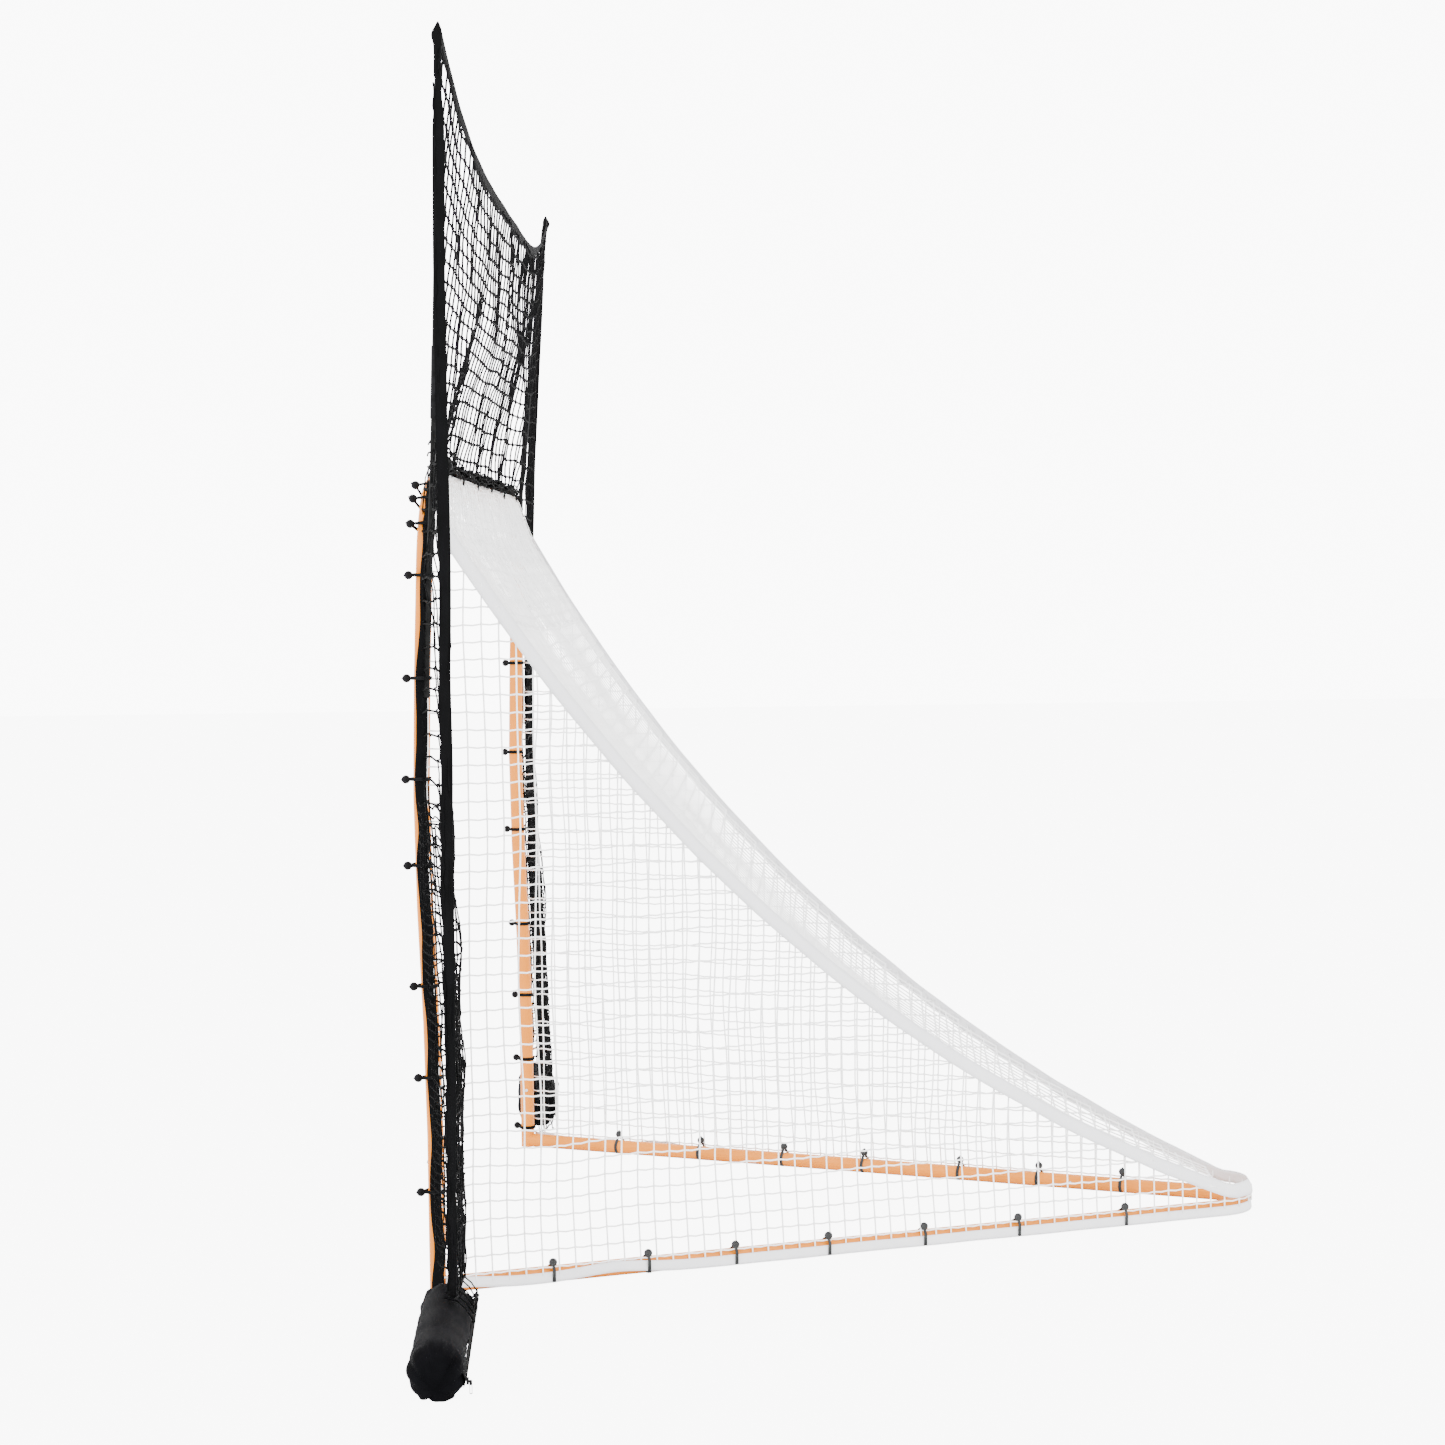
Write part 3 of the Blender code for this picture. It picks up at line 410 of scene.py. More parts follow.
def backstop_depth(x, height):
    """How far the black net stands behind the mouth plane: its strands lie against the two rods."""
    side = 1 if x > 0 else -1
    at_rod = rod_x(side, height)
    left, right = (rod_depth(hand, height) + ROD_R for hand in (-1, 1))
    line = right if x > 0 else left
    if abs(x) > at_rod:
        beyond = (abs(x) - at_rod) / max(OUTER_EDGE - at_rod, 0.01)
        return between(line, edge_depth(side, height), min(beyond, 1.0))
    outside = max(abs(x) - POST_X, 0.0) / max(at_rod - POST_X, 0.01)
    sail = between(left, right, 0.5 + x / (2 * at_rod)) + SAIL * (1.0 - (x / at_rod) ** 2)
    rise = between(SAIL_RISE, 0.10, eased((abs(x) - 0.60) / 0.30))
    return between(line * outside, sail, eased((height - CROSSBAR_Z) / rise))


def rod_point(side, height):
    return Vector((side * rod_x(side, height), rod_depth(side, height), height))


# ---------------------------------------------------------------- strands, strips and cords
def new_piece(name, verts, faces, uvs=None):
    """A piece from points in goal coordinates, moved into the row frame."""
    mesh = bpy.data.meshes.new(name)
    verts = np.asarray(verts, float) + np.array((0.0, MOUTH_Y, 0.0))
    mesh.from_pydata(verts.tolist(), [], faces)
    if uvs is not None:
        layer = mesh.uv_layers.new(name="metres")
        loops = np.zeros(len(mesh.loops), int)
        mesh.loops.foreach_get("vertex_index", loops)
        layer.data.foreach_set("uv", np.asarray(uvs, float)[loops].ravel())
    shade_smooth(mesh)
    return new_object(name, mesh)


class Strands:
    """Many round strands collected into one mesh."""

    def __init__(self, sides=5):
        self.sides = sides
        self.verts = []
        self.faces = []
        self.count = 0

    def add(self, line, radii, facing, closed=False):
        """One tube along an (n, 3) line; facing is a direction never along the line."""
        line = np.asarray(line, float)
        n = len(line)
        if n < 2:
            return
        radii = np.broadcast_to(np.asarray(radii, float), (n,))
        if closed:
            along = np.roll(line, -1, 0) - np.roll(line, 1, 0)
        else:
            along = np.gradient(line, axis=0)
        along /= np.linalg.norm(along, axis=1)[:, None] + 1e-12
        across = np.cross(along, np.asarray(facing, float))
        across /= np.linalg.norm(across, axis=1)[:, None] + 1e-12
        other = np.cross(across, along)
        k = self.sides
        turn = np.arange(k) * 2 * pi / k
        ring = (np.cos(turn)[None, :, None] * across[:, None, :]
                + np.sin(turn)[None, :, None] * other[:, None, :])
        self.verts.append((line[:, None, :] + ring * radii[:, None, None]).reshape(-1, 3))
        start = self.count
        for i in range(n if closed else n - 1):
            a, b = start + i * k, start + (i + 1) % n * k
            self.faces += [(a + j, b + j, b + (j + 1) % k, a + (j + 1) % k) for j in range(k)]
        if not closed:
            self.faces.append(tuple(range(start, start + k)))
            self.faces.append(tuple(range(start + (n - 1) * k + k - 1, start + (n - 1) * k - 1, -1)))
        self.count += n * k

    def piece(self, name):
        return new_piece(name, np.concatenate(self.verts), self.faces)


def knotted(stops, swell):
    """Parameter values and radius factors along a strand with a knot at each stop."""
    values, factors = [], []
    for i, stop in enumerate(stops):
        values += [stop - KNOT_HALF, stop, stop + KNOT_HALF]
        factors += [1.0, swell, 1.0]
        if i + 1 < len(stops):
            values.append((stop + stops[i + 1]) / 2)
            factors.append(0.92)
    return values, factors


def tape(name, look, place_at, count, width, thickness, replaced=None, wide=3):
    """A tape: place_at(share along, share across) in goal coordinates, with metres in its UVs."""
    points = [[Vector(place_at(i / count, j / wide)) for j in range(wide + 1)] for i in range(count + 1)]
    verts, uvs, run = [], [], 0.0
    for i, row in enumerate(points):
        if i:
            run += (row[wide // 2] - points[i - 1][wide // 2]).length
        verts += row
        uvs += [(j / wide * width, run) for j in range(wide + 1)]
    w = wide + 1
    faces = [(i * w + j, i * w + j + 1, (i + 1) * w + j + 1, (i + 1) * w + j)
             for i in range(count) for j in range(wide)]
    piece = new_piece(name, verts, faces, uvs)
    shell = piece.modifiers.new("cloth", "SOLIDIFY")
    shell.thickness = thickness
    shell.offset = 0.0
    place(piece, look)
    if replaced:
        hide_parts(replaced)


# ---------------------------------------------------------------- white goal net
def side_net(side):
    """Near or far side of the white net, from the post to the middle of the rear bend."""
    out = Strands(5)
    seed = 3.0 if side > 0 else 8.0

    def spot(run, height, sag=0.0):
        top = ridge_height(rail_point(side, run, SIDE_NET_OUT).y)
        free = min(height / 0.25, 1.0) * min(max(top - height, 0.0) / 0.25 + 0.15, 1.0)
        shift = 0.010 * wave(run, height, 0, 0.28, seed)
        lift = 0.008 * wave(run, height, 1, 0.20, seed + 5)
        away = -0.028 * free * sin(pi * min(run / RAIL_STRAIGHT, 1.0)) \
            + 0.010 * free * wave(run, height, 2, 0.3, seed + 9)
        moved = min(max(run + shift * free, 0.004), RAIL_RUN)
        point = rail_point(side, moved, SIDE_NET_OUT + away, height + lift * free - sag)
        if run < 0.10:
            point.y += post_depth(height) * (1 - run / 0.10)
        return point

    first_row, first_column = 0.040, 0.004
    for run in np.arange(first_column, RAIL_RUN - 0.001, WHITE_MESH):
        top = ridge_height(rail_point(side, run, SIDE_NET_OUT).y)
        heights = [h for h in np.arange(first_row, top + 0.02, WHITE_MESH) if h < top - 0.006]
        if not heights:
            continue
        values, factors = knotted(heights, WHITE_KNOT)
        values = [HEM_HIGH] + values + [top]
        factors = [1.0] + factors + [1.0]
        line = [spot(run, h) for h in values]
        facing = rail_outwards(side, min(run, RAIL_RUN - 0.01))
        out.add(line, WHITE_STRAND_R * np.array(factors), facing)
    for height in np.arange(first_row, RIDGE[0][1], WHITE_MESH):
        kept = [r for r in np.arange(first_column, RAIL_RUN, WHITE_MESH / 2)
                if ridge_height(rail_point(side, r, SIDE_NET_OUT).y) > height - 0.004]
        if len(kept) < 2:
            continue
        line = [spot(r, height, 0.0022 * (i % 2)) for i, r in enumerate(kept)]
        out.add(line, WHITE_STRAND_R, UPWARDS)
    piece = out.piece(f"white_net_{SIDES[side]}")
    place(piece, "white_net")
    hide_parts(f"{SIDES[side]}_side_net")


def ridge_places(count=400):
    """Depth and height down the ridge, with the arc length to each."""
    (y0, z0), (y1, z1), (y2, z2) = RIDGE
    t = np.linspace(0, 1, count)
    depth = (1 - t) ** 2 * y0 + 2 * t * (1 - t) * y1 + t * t * y2
    height = (1 - t) ** 2 * z0 + 2 * t * (1 - t) * z1 + t * t * z2
    arc = np.concatenate(([0], np.cumsum(np.hypot(np.diff(depth), np.diff(height)))))
    return depth, height, arc


WRAP_ANGLE = radians(72)
BACK_SAG = 0.050
DENSE_LAYERS = ((0.22, 105, 0.011), (0.42, 46, 0.024))


def back_net():
    """The sloping back of the white net, from the crossbar down to the rear bend."""
    depth, height, arc = ridge_places()
    round_bar = TUBE_R + 0.0030
    wrap = round_bar * WRAP_ANGLE
    drop_off = 0.115
    lead = wrap + drop_off
    total = lead + arc[-1] - 0.01

    def centre(s):
        if s < wrap:
            angle = WRAP_ANGLE - s / round_bar
            return (round_bar * cos(angle), CROSSBAR_Z + round_bar * sin(angle))
        if s < lead:
            share = (s - wrap) / drop_off
            return (between(round_bar, depth[0], share), between(CROSSBAR_Z, height[0], share))
        return (float(np.interp(s - lead, arc, depth)), float(np.interp(s - lead, arc, height)))

    def half(s):
        y = centre(s)[0]
        if s < lead:
            return between(CORNER_X + 0.02, POST_X + 0.006, max(s - wrap, 0.0) / drop_off)
        run = min(y / RAIL_ALONG.y, RAIL_RUN - 0.01)
        return max(abs(rail_point(1, run, SIDE_NET_OUT).x), 0.012)

    def spot(x, s, sag=0.0):
        y, z = centre(s)
        wide = half(s)
        share = min(abs(x) / wide, 1.0)
        free = (1 - share**2) * min(s / 0.3, 1.0)
        drop = BACK_SAG * free * sin(pi * min(s / total, 1.0))
        drop += 0.010 * free * wave(x, s, 0, 0.3, 21.0)
        shift = 0.009 * (1 - share) * wave(x, s, 1, 0.25, 25.0)
        return Vector((x + shift, y, max(z - drop - sag, 0.028)))

    out = Strands(5)
    steps = np.arange(0.0, total, WHITE_MESH)
    widths = np.array([half(s) for s in steps])
    count = int((POST_X + 0.012) / WHITE_MESH)
    for i in range(-count, count + 1):
        x = i * WHITE_MESH
        stops = [s for s, w in zip(steps, widths) if w > abs(x) + 0.003]
        if len(stops) < 2:
            continue
        values, factors = knotted(stops, WHITE_KNOT)
        line = [spot(x, max(v, 0.0)) for v in values]
        out.add(line, WHITE_STRAND_R * np.array(factors), SIDEWAYS)
    for s, wide in zip(steps, widths):
        number = max(int(wide / WHITE_MESH), 0)
        xs = [k * WHITE_MESH / 2 for k in range(-2 * number, 2 * number + 1)]
        xs = [-wide] + xs + [wide]
        line = [spot(x, s, 0.002 * (j % 2)) for j, x in enumerate(xs)]
        out.add(line, WHITE_STRAND_R, SLOPE_FACING)
    thin, lifted = WHITE_STRAND_R * 0.62, Vector((0.0, 0.7, 0.7))
    for layer, (slack, count, pitch) in enumerate(DENSE_LAYERS):
        for i in range(count + 1):
            across = between(-0.99, 0.99, i / count)
            line = []
            for k in range(int(slack / 0.022)):
                s = 0.002 + k * 0.022
                wide = half(s)
                drift = 0.012 * wave(across * 9, s, layer, 0.11, 201.0 + layer)
                point = spot(max(min(across * wide + drift, wide), -wide), s)
                lift = 0.003 * layer + 0.004 * wave(across * 6, s, layer, 0.09, 211.0)
                line.append(point + lifted * max(lift, -0.001))
            out.add(line, thin, (1.0, 0.0, 0.2))
        for k in range(int(slack / pitch)):
            s = 0.004 + k * pitch
            wide = half(s)
            line = []
            for i in range(61):
                across = between(-1.0, 1.0, i / 60)
                rise = 0.011 * wave(across * 4, s, layer, 0.13, 221.0 + layer)
                lift = 0.003 * layer + 0.003 * wave(across * 7, s, layer, 0.08, 231.0)
                point = spot(across * wide, max(s + rise, 0.0))
                line.append(point + lifted * max(lift, -0.001))
            out.add(line, thin, SLOPE_FACING)
    piece = out.piece("white_net_back")
    place(piece, "white_net")
    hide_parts("back_net")


RIDGE_WIDTH = 0.034
HEM_WIDTH = 0.0245
HEM_LIFT = 0.0105
HEM_HUMPS = ((0.04, 0.10), (0.42, 0.11))


def white_tapes():
    for side, word in SIDES.items():
        def ridge(u, v, side=side):
            run = between(0.006, RAIL_RUN - 0.012, u)
            foot = rail_point(side, run, SIDE_NET_OUT + 0.003)
            ahead = rail_point(side, run + 0.02, SIDE_NET_OUT + 0.003)
            slope = atan2(ridge_height(ahead.y) - ridge_height(foot.y), 0.02)
            flutter = 0.003 * wave(run, 0, 0, 0.12, 31.0 + side)
            top = ridge_height(foot.y) + (v - 0.55) * RIDGE_WIDTH / max(cos(slope), 0.33) + flutter
            inwards = -rail_outwards(side, run) * (0.012 * v * v + 0.003 * wave(run, 1, 0, 0.1, 33.0))
            if run < 0.10:
                foot.y += post_depth(top) * (1 - run / 0.10)
            return Vector((foot.x, foot.y, max(top, 0.03))) + inwards

        tape(f"ridge_tape_{word}", "white_webbing", ridge, 120, RIDGE_WIDTH, 0.0012,
             replaced=f"{word}_ridge_tape")

    def hem(u, v):
        share = 2 * u - 1
        side = 1 if share > 0 else -1
        run = between(RAIL_RUN, 0.012, abs(share))
        gap = 0.0022 * (1 + wave(run, side, 0, 0.10, 41.0))
        lift = HEM_LIFT * sum(exp(-((run - at) / wide) ** 2) for at, wide in HEM_HUMPS)
        lift += 0.0010 * (1 + wave(run, side, 1, 0.16, 43.0))
        height = 0.0010 + HEM_WIDTH * v + lift
        return rail_point(side, run, SIDE_NET_OUT - 0.0012 + gap * (1 - v), height)

    tape("hem_tape", "white_webbing", hem, 260, HEM_WIDTH, 0.0012,
         replaced="goal_hem_tape")


# ---------------------------------------------------------------- black backstop
def row_height(level, x):
    """Real height of a net row that was level when the net lay flat: rows follow the sagging top."""
    return level + (top_edge(x / TIP_X) - TIP_Z) * eased((level - 1.90) / 0.85)


def lower_edge(x):
    inside = max(abs(x) - CORNER_X, 0.0)
    reach = CORNER_R + 0.024
    if inside >= reach:
        return 0.0
    return CORNER_Z + sqrt(reach**2 - inside**2)


BAG_INNER_END = 1.20
DRAPE_START, DRAPE_END = 1.25, 0.26


def over_bag(side, x, y, z, seed):
    """Pulls the foot of a wing down over its sandbag, as far as just above the zip."""
    over = eased((abs(x) - BAG_INNER_END) / 0.05)
    down = BAG_HEIGHT + 0.07 - z
    reach = BAG_R + 0.006 + 0.004 * wave(x, z, 3, 0.05, seed)
    turn = down / reach
    if over == 0 or turn < DRAPE_START:
        return y, z
    angle = max(pi / 2 - (turn - DRAPE_START), DRAPE_END)
    middle = BAG_DEPTH[side] + (abs(x) - BAG_X) * side * tan(BAG_TURN[side])
    on_y = middle + reach * cos(angle)
    on_z = BAG_HEIGHT - BAG_R + reach * sin(angle)
    return between(y, on_y, over), between(z, on_z, over)


def black_spot(x_flat, level, sag=0.0):
    """A point of the black net: across the flat net, and up it."""
    height = row_height(level, x_flat)
    side = 1 if x_flat > 0 else -1
    x = x_flat * edge_x(height) / OUTER_EDGE
    inner = POST_X + 0.020
    y = backstop_depth(x, height)
    if height < WING_TOP + 0.2 and abs(x) > inner:
        u = min((abs(x) - inner) / (edge_x(height) - inner), 1.0)
        crowd = 2.2 * eased((height - 0.55) / 0.5) * eased((WING_TOP + 0.1 - height) / 0.3)
        u = 1.0 - (1.0 - u) ** (1.0 + crowd)
        x = side * between(inner, edge_x(height), u)
        low = eased((WING_TOP - height) / 0.9)
        wing = between(post_depth(height) + 0.004, edge_depth(side, height), u)
        wing += WING_BULGE[side] * sin(pi * u) * low
        y = between(y, wing, eased((WING_TOP + 0.2 - height) / 0.2))
    seed = 50.0 + side
    loose = 1.0 + 0.9 * eased((CROSSBAR_Z + 0.30 - height) / 0.35)
    y += 0.008 * loose * wave(x, height, 0, 0.13, seed)
    x += 0.007 * loose * wave(x, height, 1, 0.15, seed + 4)
    z = height + 0.007 * loose * wave(x, height, 2, 0.14, seed + 8) - sag
    y, z = over_bag(side, x, y, z, seed)
    return Vector((x, y, max(z, 0.006)))


FOOT_LEVEL = -0.10
FLOOR_LEVEL = 0.014
TOP_PANEL = 1.90


def black_net():
    """Top panel and wings in one net: knotted columns first, then the rows."""
    out = Strands(5)
    levels = list(np.arange(TIP_Z - 0.030, FOOT_LEVEL, -BLACK_MESH))
    count = int(OUTER_EDGE / BLACK_MESH)
    inner = POST_X + 0.020
    for i in range(-count, count + 1):
        x = i * BLACK_MESH
        low = lower_edge(x)
        top = TIP_Z - TAPE_WIDTH * 0.7
        draped = abs(x) > BAG_INNER_END
        bottom = FOOT_LEVEL if draped else FLOOR_LEVEL
        stops = [lv for lv in levels if row_height(lv, x) > max(low, 0.01) - 0.004
                 or (low == 0.0 and draped)]
        stops = [lv for lv in stops if lv >= bottom]
        if abs(x) > inner or low > 0.0:
            values, factors = knotted(stops[::-1], BLACK_KNOT)
            values.append(top)
            factors.append(1.0)
            line = [black_spot(x + 0.006 * (k % 4 > 1), v) for k, v in enumerate(values)]
            stout = np.where(np.array(values) > TOP_PANEL, 1.22, 0.90)
            out.add(line, BLACK_STRAND_R * stout * np.array(factors), BACKWARDS)
    edge = OUTER_EDGE - 0.004
    for lv in levels:
        xs = np.arange(-count * BLACK_MESH, count * BLACK_MESH + 1e-6, BLACK_MESH / 2)
        xs = [-edge] + list(xs) + [edge]
        run = []
        for j, x in enumerate(xs):
            low = lower_edge(x)
            inside = abs(x) < inner and low == 0.0
            below = low > 0.0 and row_height(lv, x) < low
            beyond_bag = lv < FLOOR_LEVEL and abs(x) < BAG_INNER_END + 0.04
            if inside or below or beyond_bag:
                if len(run) > 1:
                    out.add(run, BLACK_ROW_R, ROW_FACING)
                run = []
                continue
            run.append(black_spot(x, lv, 0.0035 * (j % 2)))
        if len(run) > 1:
            out.add(run, BLACK_ROW_R, ROW_FACING)
    for side in SIDES:
        gathered_wing(out, side)
    piece = out.piece("black_net")
    place(piece, "black_net")
    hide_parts("backstop_top_net", "right_wing_net", "left_wing_net")


FOLDS = 15
FOLD_ROWS, FOLD_STEP = 46, 0.022
FOLD_FOOT = BAG_HEIGHT + 0.02


def gathered_wing(out, side):
    """Slack of a wing, folded over itself low down, and the thick cord in its outer edge."""
    inner = POST_X + WING_START

    def on_wing(u, height, seed):
        low = eased((1.30 - height) / 0.7)
        x = between(inner, edge_x(height), u) + 0.030 * wave(height, u * 9, 0, 0.12, seed)
        y = between(post_depth(height), edge_depth(side, height), u)
        y += WING_BULGE[side] * sin(pi * u) * low
        y += 0.012 * low * wave(height, u * 9, 1, 0.10, seed)
        return (side * max(min(x, edge_x(height)), inner), y, height)

    for column in range(FOLDS):
        u = (column + 0.5) / FOLDS
        top = between(0.95, 1.30, 0.5 + 0.5 * wave(column, 0, 0, 1.7, 161.0))
        out.add([on_wing(u, between(FOLD_FOOT, top, k / 79), 162.0) for k in range(80)],
                BLACK_STRAND_R, BACKWARDS)
    for row in range(FOLD_ROWS):
        height = FOLD_FOOT + row * FOLD_STEP
        line = []
        for k in range(FOLDS):
            u = k / (FOLDS - 1)
            rise = 0.030 * wave(u * 5, height, 0, 0.9, 66.0) + 0.018 * (u - 0.5)
            line.append(on_wing(u, height + rise, 168.0))
        out.add(line, BLACK_STRAND_R, ROW_FACING)
    line = []
    for k in range(260):
        height = between(FOLD_FOOT, TIP_Z - 0.12, k / 259)
        wobble = 0.0030 * wave(height, side, 0, 0.022, 71.0)
        wobble += 0.0015 * sin(height * 2 * pi / BLACK_MESH)
        y = edge_depth(side, height) - 0.0125 + wobble
        line.append((side * (edge_x(height) + 0.002), y, height))
    out.add(line, 0.0022, SIDEWAYS)


def gathered_net():
    """Slack of the black net, gathered along the crossbar: thickest at the near corner."""
    out = Strands(5)
    radius = 0.0021
    half = CORNER_X + 0.07
    foot = CROSSBAR_Z + 0.0235

    def thick(x):
        return between(0.024, 0.050, eased((x - 0.30) / 0.42)) + 0.026 * eased((x - 0.60) / 0.12)

    for row in range(12):
        line = []
        for x in np.arange(-half, half + 1e-6, 0.014):
            drop = max(abs(x) - CORNER_X, 0.0)
            rise = (row / 11) * thick(x) + 0.012 * wave(x, row, 1, 0.05, 67.0)
            y = 0.004 + 0.016 * sin(row * 2.4) + 0.012 * wave(x, row, 0, 0.06, 61.0)
            line.append((x, y, foot + max(rise, 0.0) - drop**2 * 3.0))
        out.add(line, radius, ROW_FACING)
    for i in range(int(2 * half / 0.009)):
        x0 = -half + 0.009 * i
        drop = max(abs(x0) - CORNER_X, 0.0)
        line = []
        for row in range(6):
            x = x0 + 0.030 * wave(i, row, 0, 2.3, 71.0)
            y = 0.004 + 0.024 * wave(x0, row, 0, 0.04, 73.0)
            z = foot + row / 5 * thick(x0) * 1.15 + 0.004 * wave(x0, row, 1, 0.05, 77.0)
            line.append((x, y, max(z, foot) - drop**2 * 3.0))
        out.add(line, radius, (1.0, 0.0, 0.2))
    place(out.piece("gathered_net"), "black_net")


BINDING_WIDTH = 0.026


def black_tapes():
    """The binding along the sagging top, and one down each outer edge."""
    def top(u, v):
        share = 2 * u - 1
        x = share * edge_x(top_edge(share))
        height = top_edge(x / TIP_X) - BINDING_WIDTH * (1 - v)
        return Vector((x, backstop_depth(x, height) + 0.002 * wave(x, v, 0, 0.2, 81.0), height))

    tape("top_tape", "black_webbing", top, 110, BINDING_WIDTH, 0.0014,
         replaced="backstop_top_tape")

    for side, word in SIDES.items():
        def outer(u, v, side=side):
            height = between(BAG_HEIGHT + 0.010, TIP_Z - 0.105, u)
            narrow = between(1.0, 0.45, eased((height - TIP_Z + 0.22) / 0.11))
            x = edge_x(height) + 0.003 + 0.004 * wave(height, 2, 0, 0.15, 87.0)
            slant = 0.35 * wave(height, 0, 0, 0.5, 83.0 + side)
            slant += 0.8 * eased((0.9 - height) / 0.6)
            y = edge_depth(side, height) - 0.004 + 0.004 * wave(height, 1, 0, 0.22, 85.0 + side)
            across = (v - 0.5) * TAPE_WIDTH * narrow
            x += across * sin(slant)
            return Vector((side * x, y + across * cos(slant), height))

        tape(f"edge_tape_{word}", "black_webbing", outer, 110, TAPE_WIDTH, 0.0014,
             replaced=f"{word}_edge_tape")


BALLS = {1: (0.235, 0.495, 0.703, 0.977, 1.172, 1.400, 1.632),
         -1: (0.058, 0.256, 0.439, 0.648, 0.920, 1.143, 1.400, 1.632)}
BEND_BALLS = (27, 46, 60)
BAR_BALLS = (0.14, 0.42, 0.70)


def mouth_line(side):
    """Places round half the mouth: (centre of the tube, outward direction, distance along)."""
    line = []
    for i in range(141):
        z = between(0.016, CORNER_Z, i / 140)
        line.append((Vector((side * POST_X, post_depth(z), z)), Vector((side, 0, 0)), z))
    for i in range(1, 31):
        angle = pi / 2 * i / 30
        out = Vector((side * cos(angle), 0, sin(angle)))
        z = CORNER_Z + CORNER_R * sin(angle)
        centre = Vector((side * CORNER_X, post_depth(z), CORNER_Z)) + out * CORNER_R
        line.append((centre, out, CORNER_Z + CORNER_R * angle))
    for i in range(1, 61):
        x = between(CORNER_X, 0.0, i / 60)
        line.append((Vector((side * x, 0.0, CROSSBAR_Z)), Vector((0, 0, 1)),
                        CORNER_Z + CORNER_R * pi / 2 + CORNER_X - x))
    return line


def ball_runs(side):
    """Where the bungees hold the tape, as distances along mouth_line."""
    runs = list(BALLS[side])
    runs += [CORNER_Z + CORNER_R * radians(a) for a in BEND_BALLS]
    runs += [CORNER_Z + CORNER_R * pi / 2 + CORNER_X - x for x in BAR_BALLS]
    return sorted(runs)


def tape_shift(run):
    """How far back the mouth tape lies on its tube: it slides back round the bend."""
    return between(0.001, 0.009, eased((run - 1.42) / 0.30))


def mouth_tape():
    """The tape round the mouth: held at each bungee, and puffed out a little between them."""
    half = {}
    for side in SIDES:
        holds = [0.0] + ball_runs(side)
        row = []
        for centre, out, run in mouth_line(side):
            above = min([h for h in holds if h >= run], default=run)
            below = max([h for h in holds if h <= run], default=run)
            span = above - below
            share = (run - below) / span if span > 1e-6 else 0.0
            loose = sin(pi * share) ** 2 * min(span / 0.25, 1.0)
            puff = loose * (0.010 + 0.012 * wave(below, side, 0, 0.3, 91.0))
            slide = tape_shift(run) + 0.008 * loose + 0.005 * loose * wave(run, side, 0, 0.1, 93.0)
            row.append((centre + out * (MOUTH_TAPE_R + max(puff, 0.0)), out, slide, loose))
        half[side] = row
    whole = half[1] + half[-1][::-1][1:]
    last = len(whole) - 1

    def mouth(u, v):
        point, out, slide, loose = whole[round(u * last)]
        curl = out * (0.004 * loose * (v - 0.5))
        return point + curl + Vector((0.0, BINDING_WIDTH * (v - 0.5) + slide, 0.0))

    tape("mouth_tape", "black_webbing", mouth, last, BINDING_WIDTH, 0.0013,
         replaced="backstop_mouth_tape")


# ---------------------------------------------------------------- ball bungees
def belt(circles, corners=28):
    """Points of a band drawn tight round some circles, each (a, b, radius)."""
    turns = [2 * pi * i / corners for i in range(corners)]
    dots = sorted((a + r * cos(t), b + r * sin(t)) for a, b, r in circles for t in turns)

    def chain(points):
        kept = []
        for p in points:
            while len(kept) > 1 and ((kept[-1][0] - kept[-2][0]) * (p[1] - kept[-2][1])
                                     <= (kept[-1][1] - kept[-2][1]) * (p[0] - kept[-2][0])):
                kept.pop()
            kept.append(p)
        return kept[:-1]

    outline = chain(dots) + chain(dots[::-1])
    spaced = [outline[0]]
    for dot in outline[1:]:
        if dist(dot, spaced[-1]) > CORD_R:
            spaced.append(dot)
    return spaced


